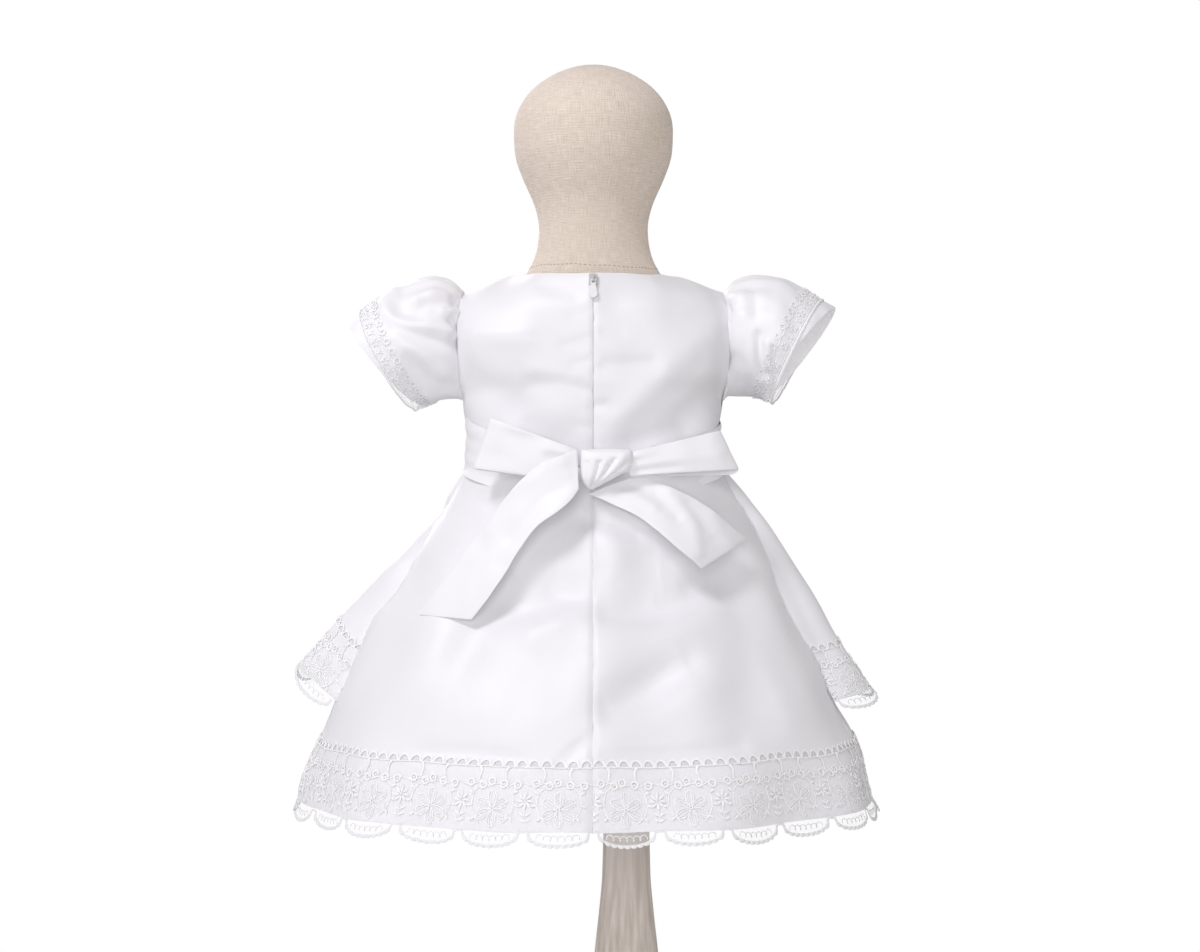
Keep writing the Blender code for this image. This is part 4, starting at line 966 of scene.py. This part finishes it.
def laces(skirt_side, over_side, looks):
    """The lace on the hem, in two halves that meet at the back seam, and the overskirt's."""
    heights = np.linspace(WAIST_Z, HEM_Z, len(skirt_side))
    cord_row = int(np.argmin(np.abs(heights - CORD_Z)))
    normals = normals_of(skirt_side)
    angles = np.concatenate([np.linspace(first, last, columns)[1 if first else 0:]
                             for _, first, last, columns in PANELS])
    front = int(np.argmin(np.abs(angles - 180)))
    for name, part in (("hem_lace_left", slice(0, front + 1)), ("hem_lace_right", slice(front, None))):
        lace_strip(name, skirt_side[:, part], normals[:, part], cord_row, HEM_REPEATS, looks)
    cord_row = int(round(OVER_CORD * (len(over_side) - 1)))
    lace_strip("overskirt_lace", over_side, normals_of(over_side), cord_row, OVER_REPEATS, looks)


# ---------------- bodice and zip
BACK_CREASES = (
    (3.5, -0.9, (15, 554), (5, 556)),
    (4.5, -0.9, (22, 531), (9, 534)),
    (4, -1, (14, 517), (5, 519)),
    (7, -1.5, (44, 503), (8, 500)),
    (7, 0.8, (44, 514), (12, 511)),
    (4.5, -1, (-19, 540), (-8, 541)),
    (7, -1.8, (-42, 517), (-10, 517)),
    (4, -1.2, (-9, 487), (-3, 487)),
    (10, 1.8, (-92, 546), (-34, 492), (-15, 476)),
    (12, -3.4, (-92, 498), (-60, 474), (-30, 456)),
    (7, -1.6, (38, 577), (14, 570)),
    (8, 1.6, (88, 540), (50, 538)),
    (13, -2.2, (90, 508), (56, 488)),
    (10, 1.4, (-30, 560), (-62, 556)),
)
FRONT_CREASES = (
    (9, -1.3, (-80, 520), (-30, 478)),
    (9, -1.3, (82, 516), (34, 474)),
    (8, 1, (-60, 548), (-20, 540)),
    (7, -0.9, (10, 500), (30, 470)),
    (6, -0.8, (-24, 462), (-8, 480)),
)


def bodice(satin):
    """The bodice's two backs, either side of the zip, and its front. Gives grids and normals."""
    made = {}
    for name, side in (("bodice_back_left", 1), ("bodice_back_right", -1)):
        grid = bodice_grid(BACK_ROWS, 1, side)
        normals = normals_of(grid)
        grid = swelled(grid, normals, (0.6, 44, 23), (0.05, 15, 24))
        grid = creased(grid, normals, BACK_CREASES, 1)
        grid = pinched(grid, normals, 0, 25 + side)
        grid[..., 0] = side * np.maximum(side * grid[..., 0], ZIP_HALF_GAP)
        grid[..., 1] = np.maximum(grid[..., 1], SEAM_GAP)
        made[name] = (grid, normals)
    left, right = (bodice_grid(FRONT_ROWS, -1, side) for side in (1, -1))
    grid = soften(np.concatenate([left[:, :0:-1], right], axis=1), 4, axis=1)
    normals = normals_of(grid)
    grid = swelled(grid, normals, (0.35, 38, 26), (0.05, 15, 27))
    grid = creased(grid, normals, FRONT_CREASES, -1)
    grid[..., 1] = np.minimum(grid[..., 1], -SEAM_GAP)
    made["bodice_front"] = (grid, normals)
    for name, (grid, normals) in made.items():
        cloth(name, grid, normals, SATIN, satin)
    return made


TAPE_COLUMNS, TAPE_DEPTH, TAPE = (6, 3, 0), 2.2, 0.8
TOOTH_PITCH, TEETH_TOP_Z, TOOTH_DEPTH = 1.3, 574, 1.4
TOOTH_CORNERS = [(x, y, z) for x in (-0.25, 0.95) for y in (-0.35, 0.35) for z in (-0.4, 0.4)]
BOX_FACES = [[0, 1, 3, 2], [4, 6, 7, 5], [0, 4, 5, 1], [2, 3, 7, 6], [0, 2, 6, 4], [1, 5, 7, 3]]


def zip_up(backs, tape_look, tooth_look):
    """The zip's tape behind the two backs' edges, and its coil of teeth between them."""
    left, right = backs["bodice_back_left"], backs["bodice_back_right"]
    columns = [(left, column) for column in TAPE_COLUMNS] + [(right, column) for column in TAPE_COLUMNS[::-1]]
    outs = np.stack([normals[:, column] for (_, normals), column in columns], axis=1)
    tape = np.stack([grid[:, column] for (grid, _), column in columns], axis=1) - outs * TAPE_DEPTH
    tape[0, :, 2] += 0.4
    piece = shell("zip_tape", tape, outs, TAPE, tape_look)
    width, length, area = flat_size(tape)
    edge = left[0][:, 0]
    parts = []
    for index, spot in enumerate(curve(edge[:, 2], edge, np.arange(WAIST_Z + 4, TEETH_TOP_Z, TOOTH_PITCH))):
        corners = np.array(TOOTH_CORNERS) * (1 if index % 2 else -1, 1, 1)
        parts.append((corners + (0, spot[1] - TOOTH_DEPTH, spot[2]), BOX_FACES))
    points, faces = joined(parts)
    add_mesh("zip_teeth", to_metres(points), faces, tooth_look)


# ---------------- sleeves
LEFT_CREASES = (
    (6, -3.4, (104, 566), (126, 565)),
    (4.5, 3, (100, 573), (118, 573), (131, 567)),
    (3, 3, (112, 560), (101, 558)),
    (3, -3, (106, 552), (101, 546)),
    (5, 3.4, (149, 573), (155, 566), (154, 558), (149, 552), (137, 548), (116, 546), (108, 543)),
    (7, -2.8, (143, 565), (141, 558), (132, 556)),
    (6, -2.6, (146, 545), (120, 537), (104, 534)),
    (6, 2.6, (146, 540), (123, 523), (114, 512)),
    (5, -2, (136, 522), (124, 508)),
    (6, -2.4, (112, 505), (100, 500)),
)
RIGHT_CREASES = (
    (8, 2.4, (-102, 570), (-110, 568), (-109, 560)),
    (2.5, -1.8, (-101, 563), (-102, 559)),
    (5, -1.6, (-119, 574), (-120, 556)),
    (4, -3.6, (-122, 540), (-123, 524), (-126, 512)),
    (3, 2.8, (-128, 534), (-130, 516)),
    (9, -3, (-104, 524), (-116, 500)),
    (6, 1.8, (-102, 546), (-104, 530)),
    (8, 1.6, (-140, 560), (-138, 536)),
)


def sleeve(name, stations, side, yaw, creases, satin, inside, lace_looks):
    """A short bell sleeve, gathered at its cap, with a band of lace near its hem."""
    grid = sleeve_grid(stations, side, yaw)
    normals = normals_of(grid, (side * 140, 0, 535), closed=True)
    normals[0, :, 0] = 0
    normals[0] /= norm(normals[0], axis=1, keepdims=True)
    grow = np.linspace(0, 1, len(grid))[:, None] ** 0.5
    grid = swelled(grid, normals, (0.5, 30, 33 + side), (0.2, 13, 36 + side), share=grow)
    grid = creased(grid, normals, creases, 1)
    piece = cloth(name, grid, normals, SATIN, satin, closed=True)
    # The inner layer's faces take the inside satin, which has a painted glow for light through the cloth.
    piece.data.materials.append(inside)
    outer_faces = (len(grid) - 1) * grid.shape[1]
    for face in piece.data.polygons[outer_faces:2 * outer_faces]:
        face.material_index = 1
    sleeve_lace(f"{name}_lace", grid, normals, lace_looks)


SLEEVE_LACE_BAND, SLEEVE_LACE_MARGIN = 18.0, 1.5
SLEEVE_NET_ROWS, SLEEVE_NET_COLUMNS = 8, 12


def sleeve_lace(name, grid, normals, looks):
    """The band of lace near a sleeve's hem, its upper edge in small loops."""
    grid = np.concatenate([grid, grid[:, :1]], axis=1)
    normals = np.concatenate([normals, normals[:, :1]], axis=1)
    rises = spacing(grid[::-1]).cumsum(axis=0)
    row = len(grid) - 2 - int(np.argmin(np.abs(rises.mean(axis=1) - SLEEVE_LACE_BAND)))
    length = spacing(grid[-1]).sum()
    band = norm(grid[-1] - grid[row], axis=1).mean() - SLEEVE_LACE_MARGIN

    def place(points):
        drop = points[:, 1] + 0.2 * np.sin(points[:, 0] * 0.1)
        return to_metres(on_panel(grid, normals, row, points[:, 0] % length, drop, points[:, 2]))

    columns = SLEEVE_REPEATS * SLEEVE_NET_COLUMNS
    runs = np.arange(columns) * length / columns
    top = 1.6 - 2.2 * np.abs(np.sin(pi * SLEEVE_REPEATS * runs / length)) ** 0.7
    drops = top + np.linspace(0, 1, SLEEVE_NET_ROWS)[:, None] * (band - top)
    sheet = net_mesh(name, merged(runs, drops), place, looks[1], closed=True)
    points, faces = repeated(sleeve_motif, length / SLEEVE_REPEATS, band, SLEEVE_REPEATS)
    cords = add_mesh(f"{name}_cords", place(points), faces, looks[0], sharp=60)


# ---------------- sash and bow
SASH_CREASES = (
    (3, -0.9, (12, 446), (40, 452), (70, 458)),
    (3.5, 0.8, (14, 440), (50, 444)),
    (3, -0.8, (-34, 446), (-60, 450), (-86, 456)),
    (3, 0.7, (60, 468), (92, 472)),
)


def sash(name, edges, side, columns, satin):
    """A stretch of the sash, laid on the gown between the edges' heights."""
    angles = np.linspace(edges[0][0], edges[-1][0], columns)
    low, high = along(edges, angles).T
    shares = np.linspace(1, 0, 16)[:, None]
    heights = low + (high - low) * shares
    grid = soften(round_waist(np.broadcast_to(side * angles, heights.shape), heights), 3)
    out = grid[..., :2] / norm(grid[..., :2], axis=-1, keepdims=True)
    lean = SASH_LEAN * shares ** 2 * np.clip((angles - SASH_LEAN_FROM) / SASH_LEAN_TURN, 0, 1)
    grid[..., :2] += out * (SASH_STAND - lean)[..., None]
    normals = normals_of(grid)
    pleats = SASH_PLEAT_DEPTH * np.sin(2 * pi * (heights - low) / SASH_PLEAT + angles * 0.02)
    ripple = pleats + 0.25 * uneven(grid * (0.3, 0.3, 1), 12, 43)
    grid = creased(grid + normals * ripple[..., None], normals, SASH_CREASES, 1)
    cloth(name, grid, normals, RIBBON, satin)


LEFT_LOOP_CREASES = (
    (9, -1.6, (30, 470), (52, 462)),
    (6, 1.6, (18, 454), (32, 456)),
    (4, 0.8, (40, 468), (78, 476)),
    (7, -1, (60, 448), (84, 452)),
)
RIGHT_LOOP_CREASES = (
    (5, 0.9, (-38, 445), (-92, 452)),
    (6, -0.8, (-46, 456), (-80, 464)),
    (3, -0.6, (-34, 442), (-60, 443)),
)


def bow_loop(name, corners, back_drop, creases, seed, satin):
    """A loop of ribbon that leaves the knot, turns over at its end and comes back."""
    high, low, end_high, end_low = np.array(corners, float)
    turn, share = np.meshgrid(np.linspace(LOOP_START, 2 * pi - LOOP_START, 110), np.linspace(1, 0, 30))
    reach = (1 - np.cos(turn)) / 2
    root = low + (high - low) * share[..., None]
    end = end_low + (end_high - end_low) * share[..., None]
    grid = root + (end - root) * (reach - (1 - np.cos(LOOP_START)) / 2)[..., None]
    faced = np.sign(np.sin(turn))
    gather = LOOP_GATHER * np.cos(2 * pi * share * 2.3 + 1.0) * np.exp(-((reach / 0.3) ** 2))
    roll = LOOP_ROLL * np.sin(pi * share) * reach
    grid[..., 1] += LOOP_PUFF * np.sin(turn) * (LOOP_ROOT_PUFF + (1 - LOOP_ROOT_PUFF) * reach)
    grid[..., 1] += (gather + roll) * faced
    grid[..., 2] -= back_drop * np.clip(-2 * np.sin(turn), 0, 1) * (0.25 + 0.75 * reach)
    normals = normals_of(grid, (0, 0, 0))
    outward = np.broadcast_to((0.0, 1.0, 0.0), grid.shape)
    grid = creased(grid, outward, creases, share=np.maximum(faced, 0))
    grid = swelled(grid, normals, (0.25, 22, seed))
    cloth(name, grid, normals, RIBBON, satin)


KNOT_CREASES = (
    (1.6, -2.4, (1.5, 427), (-2, 436), (-4.5, 446)),
    (1.7, -2.4, (0, 427), (-9, 439), (-15.5, 448)),
    (1.3, -1.2, (-1, 427), (-20, 441), (-25, 446)),
    (1.2, -0.8, (4, 430), (5, 446)),
    (2, 1, (-3, 432), (-9, 446)),
    (2.4, 0.9, (-8, 434), (-22, 450)),
)


def bow_knot(satin):
    """The knot: a band wrapped over the bow's middle, gathered to a point at its foot."""
    angles, heights = np.meshgrid(np.linspace(0, 360, 96, endpoint=False),
                                  np.linspace(KNOT_RINGS[0][0], KNOT_RINGS[-1][0], 60))
    left, right, deep = np.moveaxis(along(KNOT_RINGS, heights), -1, 0)
    reach = (left - right) / 2
    place = oval(angles, merged(reach, reach, deep, deep, KNOT_SQUARENESS))
    grid = merged((left + right) / 2 + place[..., 0], KNOT_Y + place[..., 1], heights)
    normals = normals_of(grid, (-9, KNOT_Y, 442), closed=True)
    grid = creased(grid, normals, KNOT_CREASES, share=1 / (1 + np.exp(-(grid[..., 1] - KNOT_Y - 2))))
    foot, head = grid[0].mean(axis=0) - (0, 0, 0.5), grid[-1].mean(axis=0) + (0, 0, 0.8)
    points = np.concatenate([grid.reshape(-1, 3), [foot, head]])
    before, after, faces = grid_faces(*angles.shape, closed=True)
    faces = faces.tolist() + [[end, start, before.size] for start, end in zip(before[0], after[0])]
    faces += [[start, end, before.size + 1] for start, end in zip(before[-1], after[-1])]
    add_mesh("bow_knot_cloth", to_metres(points), faces, satin, "bow_knot",
             uv=points[:, [0, 2]] * MM)


def back_depth(across, heights):
    """The depth of the gown's back at places across from its middle, found by halving."""
    low, high = np.full(across.shape, -90.0), np.full(across.shape, 90.0)
    for _ in range(30):
        angle = (low + high) / 2
        beyond = round_waist(angle, heights)[..., 0] > across
        low, high = np.where(beyond, low, angle), np.where(beyond, angle, high)
    return round_waist(angle, heights)[..., 1]


LEFT_TAIL_CREASES = (
    (6, -1.4, (14, 434), (34, 422), (58, 392)),
    (5, 1, (22, 446), (50, 430), (74, 398)),
    (8, -1.2, (82, 384), (100, 356)),
    (7, 1, (74, 366), (96, 340)),
)
RIGHT_TAIL_CREASES = (
    (4, 1.6, (-12, 424), (-30, 421), (-44, 414)),
    (5, -1.6, (-24, 430), (-44, 424), (-60, 408)),
    (5, 1.3, (-56, 424), (-72, 402), (-76, 382)),
    (5, -1.2, (-70, 416), (-88, 392)),
    (5, 1, (-86, 408), (-98, 388)),
)


def bow_tail(name, steps, creases, seed, satin):
    """A tail of the bow, standing a little off the gown's back."""
    high_x, high_z, low_x, low_z, stand = soften(bent(steps, 90), 12).T
    share = np.linspace(1, 0, 26)[:, None]
    across, heights = low_x + (high_x - low_x) * share, low_z + (high_z - low_z) * share
    grid = merged(across, back_depth(across, heights) + stand, heights)
    grid = soften(soften(grid, 6), 6, axis=1)
    normals = normals_of(grid)
    grid = creased(grid, normals, creases)
    grid = swelled(grid, normals, (0.3, 26, seed))
    cloth(name, grid, normals, RIBBON, satin)


# ---------------- dress form and stand
def turned(name, rings, sides, look, across=0.0):
    """A closed round shape through rows of (z, half width, half depth), in place of its solid."""
    heights, wide, deep = np.array(rings, float).T[:, :, None]
    turn = np.linspace(0, 2 * pi, sides + 1)
    grid = merged(across + wide * np.cos(turn), deep * np.sin(turn), heights)
    rows, columns = grid.shape[:2]
    faces = grid_faces(rows, columns)[2].tolist()
    faces += [list(range(sides, 0, -1)), list(range((rows - 1) * columns, rows * columns - 1))]
    girth = 2 * pi * np.sqrt((wide ** 2 + deep ** 2) / 2).mean()
    run = np.cumsum([0, *np.hypot(np.diff(heights[:, 0]), np.diff(wide[:, 0]))])
    uv = merged(turn / (2 * pi) * girth, run[:, None]).reshape(-1, 2) * MM
    add_mesh(f"{name}_round", grid.reshape(-1, 3) * MM, faces, look, name, uv=uv, sharp=50)


# out from the linen, up
STITCH_CORNERS = ((0, -0.28), (0.2, 0), (0, 0.28), (-0.3, 0))
STITCH_RISE = (-0.1, 0.12, 0.12, -0.1)


def neck_seam(heights, sizes, look):
    """A row of running stitches round the foot of the form's neck."""
    parts = []
    for index in range(NECK_STITCHES):
        turn = 2 * pi * (index + np.linspace(0.08, 0.62, len(STITCH_RISE))) / NECK_STITCHES
        level = NECK_SEAM_Z + 1.2 * np.sin(2 * turn) + 0.3 * np.sin(11 * turn)
        wide, deep = curve(heights, sizes, level).T
        spots = merged(GOWN_X + wide * np.cos(turn), deep * np.sin(turn), level)
        outs = merged(np.cos(turn), np.sin(turn), 0)
        rise = np.array(STITCH_RISE)[:, None]
        ring = [spots + outs * (rise + out) + (0, 0, up) for out, up in STITCH_CORNERS]
        parts.append((np.stack(ring, axis=1).reshape(-1, 3), tube_faces(len(turn), len(ring))))
    points, faces = joined(parts)
    add_mesh("neck_stitches", points * MM, faces, look)


def form_and_stand(linen, wood, stitch_look):
    """The linen form with its plain head, the turned pole and the round base."""
    crown = [742, 744, 745.6, 746.5, FORM_TOP_Z]
    heights = np.concatenate([np.linspace(FORM_RINGS[0][0], 740, 150), crown])
    sizes = along(FORM_RINGS, np.minimum(heights, FORM_RINGS[-1][0]))
    sizes[-4:] *= np.array([1.0, 0.92, 0.66, 0.2])[:, None]
    sizes = soften(sizes, 8)
    turned("dress_form", np.column_stack([heights, sizes]), 120, linen, GOWN_X)
    neck_seam(heights, sizes, stitch_look)
    heights = np.linspace(POLE_STEPS[0][0], POLE_STEPS[-1][0], 110)
    radii = along(POLE_STEPS, heights)
    turned("stand_pole", np.column_stack([heights, radii, radii]), 72, wood)
    turned("stand_base", [(z, radius, radius) for z, radius in BASE_RIM], 96, wood)


# ---------------- camera, light and floor
CAMERA_PLACE, CAMERA_TURN = (0.020, 1.6, 0.436), (pi / 2, 0, pi)
AMBIENT, AMBIENT_FROM = 0.57, (0.1, -0.8, 0.6)
# name, place, aim, size, power, colour
LAMPS = (
    ("key", (0.9, 1.16, 2.0), (0, 0.05, 0.42), 0.5, 15.8, (0.955, 0.945, 1)),
    ("fill", (0.2, 2.3, 0.7), (0, 0, 0.4), 1.2, 17, (0.99, 0.982, 0.99)),
    ("left", (2.0, 1.1, 0.15), (0.15, 0, 0.5), 0.9, 6.2, (0.98, 0.97, 1)),
    ("right", (-1.6, 0.9, 0.06), (-0.1, 0, 0.5), 0.5, 3.3, (1, 0.99, 0.985)),
    ("front", (0.9, -1.9, 1.3), (0, 0, 0.4), 1.0, 14, (1, 0.99, 0.98)),
)
FLOOR_RADIUS, FLOOR_Y, FLOOR_Z = 0.42, 0.1, -0.0005


def add_object(name, data):
    """An object of the stage, in the scene."""
    made = bpy.data.objects.new(name, data)
    bpy.context.collection.objects.link(made)
    return made


def camera_and_lamps():
    """The camera behind the gown and soft studio lamps round it."""
    lens = bpy.data.cameras.new("camera")
    lens.sensor_width, lens.lens = 36, 63.16
    camera = add_object("camera", lens)
    camera.location, camera.rotation_euler = CAMERA_PLACE, CAMERA_TURN
    bpy.context.scene.camera = camera
    bpy.context.scene.view_settings.view_transform = "Standard"
    for name, place, aim, size, power, colour in LAMPS:
        lamp = bpy.data.lights.new(name, "AREA")
        lamp.shape, lamp.size, lamp.energy, lamp.color = "DISK", size, power, colour
        light = add_object(name, lamp)
        light.location = place
        light.rotation_euler = (Vector(aim) - Vector(place)).to_track_quat("-Z", "Y").to_euler()


def surroundings():
    """Even light from all round, stronger from the front and above, that the camera sees as white."""
    world = bpy.data.worlds.new("studio")
    bpy.context.scene.world = world
    world.use_nodes = True
    nodes, links = world.node_tree.nodes, world.node_tree.links
    nodes.clear()
    place = nodes.new("ShaderNodeTexCoord")
    facing = add_node(nodes, "ShaderNodeVectorMath", operation="DOT_PRODUCT")
    facing.inputs[1].default_value = AMBIENT_FROM
    share = add_node(nodes, "ShaderNodeMapRange", **{"From Min": -1})
    ramp = nodes.new("ShaderNodeValToRGB")
    ramp.color_ramp.elements[0].color = (0.46, 0.448, 0.435, 1)
    ramp.color_ramp.elements[1].color = (1.0, 0.985, 0.97, 1)
    around = add_node(nodes, "ShaderNodeBackground", Strength=AMBIENT)
    seen = add_node(nodes, "ShaderNodeBackground", Color=(1, 1, 1, 1))
    path, mix = nodes.new("ShaderNodeLightPath"), nodes.new("ShaderNodeMixShader")
    end = nodes.new("ShaderNodeOutputWorld")
    for output, socket in (
            (place.outputs["Generated"], facing.inputs[0]), (facing.outputs["Value"], share.inputs["Value"]),
            (share.outputs["Result"], ramp.inputs["Fac"]), (ramp.outputs["Color"], around.inputs["Color"]),
            (path.outputs["Is Camera Ray"], mix.inputs["Fac"]), (around.outputs["Background"], mix.inputs[1]),
            (seen.outputs["Background"], mix.inputs[2]), (mix.outputs["Shader"], end.inputs["Surface"])):
        links.new(output, socket)


def floor():
    """A plain pale round floor just under the base."""
    turn = np.linspace(0, 2 * pi, 96, endpoint=False)
    rim = [(FLOOR_RADIUS * np.cos(angle), FLOOR_Y + FLOOR_RADIUS * np.sin(angle), FLOOR_Z) for angle in turn]
    mesh = bpy.data.meshes.new("floor")
    mesh.from_pydata(rim, [], [list(range(len(rim)))])
    mesh.materials.append(Finish("pale_floor", (0.88, 0.88, 0.88), 0.7).material)
    add_object("floor", mesh)


def main():
    """The stage, then the gown piece by piece, and the form and stand."""
    camera_and_lamps()
    surroundings()
    floor()
    satin = satin_finish("white_satin_cloth")
    looks = (thread_finish("white_lace_thread", (0.95, 0.95, 0.955)),
             net_finish("white_lace_net", (0.96, 0.955, 0.97), 0.13),
             # A darker copy of the net: painted shade for the arches' openings.
             net_finish("painted_shade_lace_net", (0.90, 0.895, 0.91), 0.35),
             # A darker copy of the thread: painted shade for the scallops that hang below the skirt.
             thread_finish("painted_shade_lace_thread", (0.84, 0.835, 0.86)))
    laces(skirt(satin), overskirt(satin), looks)
    tape_look = plain_finish("zip_tape_cloth", (0.62, 0.62, 0.64), 0.8, 0.0, 2000.0)
    zip_up(bodice(satin), tape_look, plain_finish("zip_tooth", (0.55, 0.55, 0.57), 0.4, 0.0, 900.0))
    # The sleeves' satin is the skirt's made 5 % lighter: painted light for the light that comes through the
    # thin cloth.
    painted_light_sleeve_satin = satin_finish("white_sleeve_satin", 1.05)
    # The sleeves' inner faces: the same 5 % lighter satin with a painted glow, an emission standing in for
    # light through the cloth.
    inside = satin_finish("sleeve_inside_glowing_satin", 1.05, 0.13)
    sleeve("sleeve_left", LEFT_SLEEVE, 1, LEFT_YAW, LEFT_CREASES, painted_light_sleeve_satin, inside, looks)
    sleeve("sleeve_right", RIGHT_SLEEVE, -1, RIGHT_YAW, RIGHT_CREASES, painted_light_sleeve_satin, inside, looks)
    ribbon = satin_finish("white_ribbon_satin", 1.04)
    sash("sash_back_left", SASH_LEFT, 1, 60, ribbon)
    sash("sash_back_right", SASH_RIGHT, -1, 60, ribbon)
    sash("sash_front_left", SASH_FRONT_LEFT, 1, 80, ribbon)
    sash("sash_front_right", SASH_FRONT_RIGHT, -1, 80, ribbon)
    bow_loop("bow_loop_left", LEFT_LOOP, LEFT_BACK_DROP, LEFT_LOOP_CREASES, 52, ribbon)
    bow_loop("bow_loop_right", RIGHT_LOOP, RIGHT_BACK_DROP, RIGHT_LOOP_CREASES, 50, ribbon)
    bow_knot(ribbon)
    bow_tail("bow_tail_left", LEFT_TAIL, LEFT_TAIL_CREASES, 61, ribbon)
    bow_tail("bow_tail_right", RIGHT_TAIL, RIGHT_TAIL_CREASES, 62, ribbon)
    form_and_stand(linen_finish(), wood_finish(), thread_finish("linen_thread", (0.42, 0.33, 0.27)))
    metal = plain_finish("zip_metal", (0.66, 0.66, 0.67), 0.35, 0.6, 1200.0)
    enamel = plain_finish("zip_pull_enamel", (0.88, 0.88, 0.89), 0.3, 0.0, 700.0)
    for node, look in (("zip_slider", metal), ("zip_pull", enamel)):
        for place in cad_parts[node].material_slots:
            place.link = "OBJECT"
            place.material = look


main()
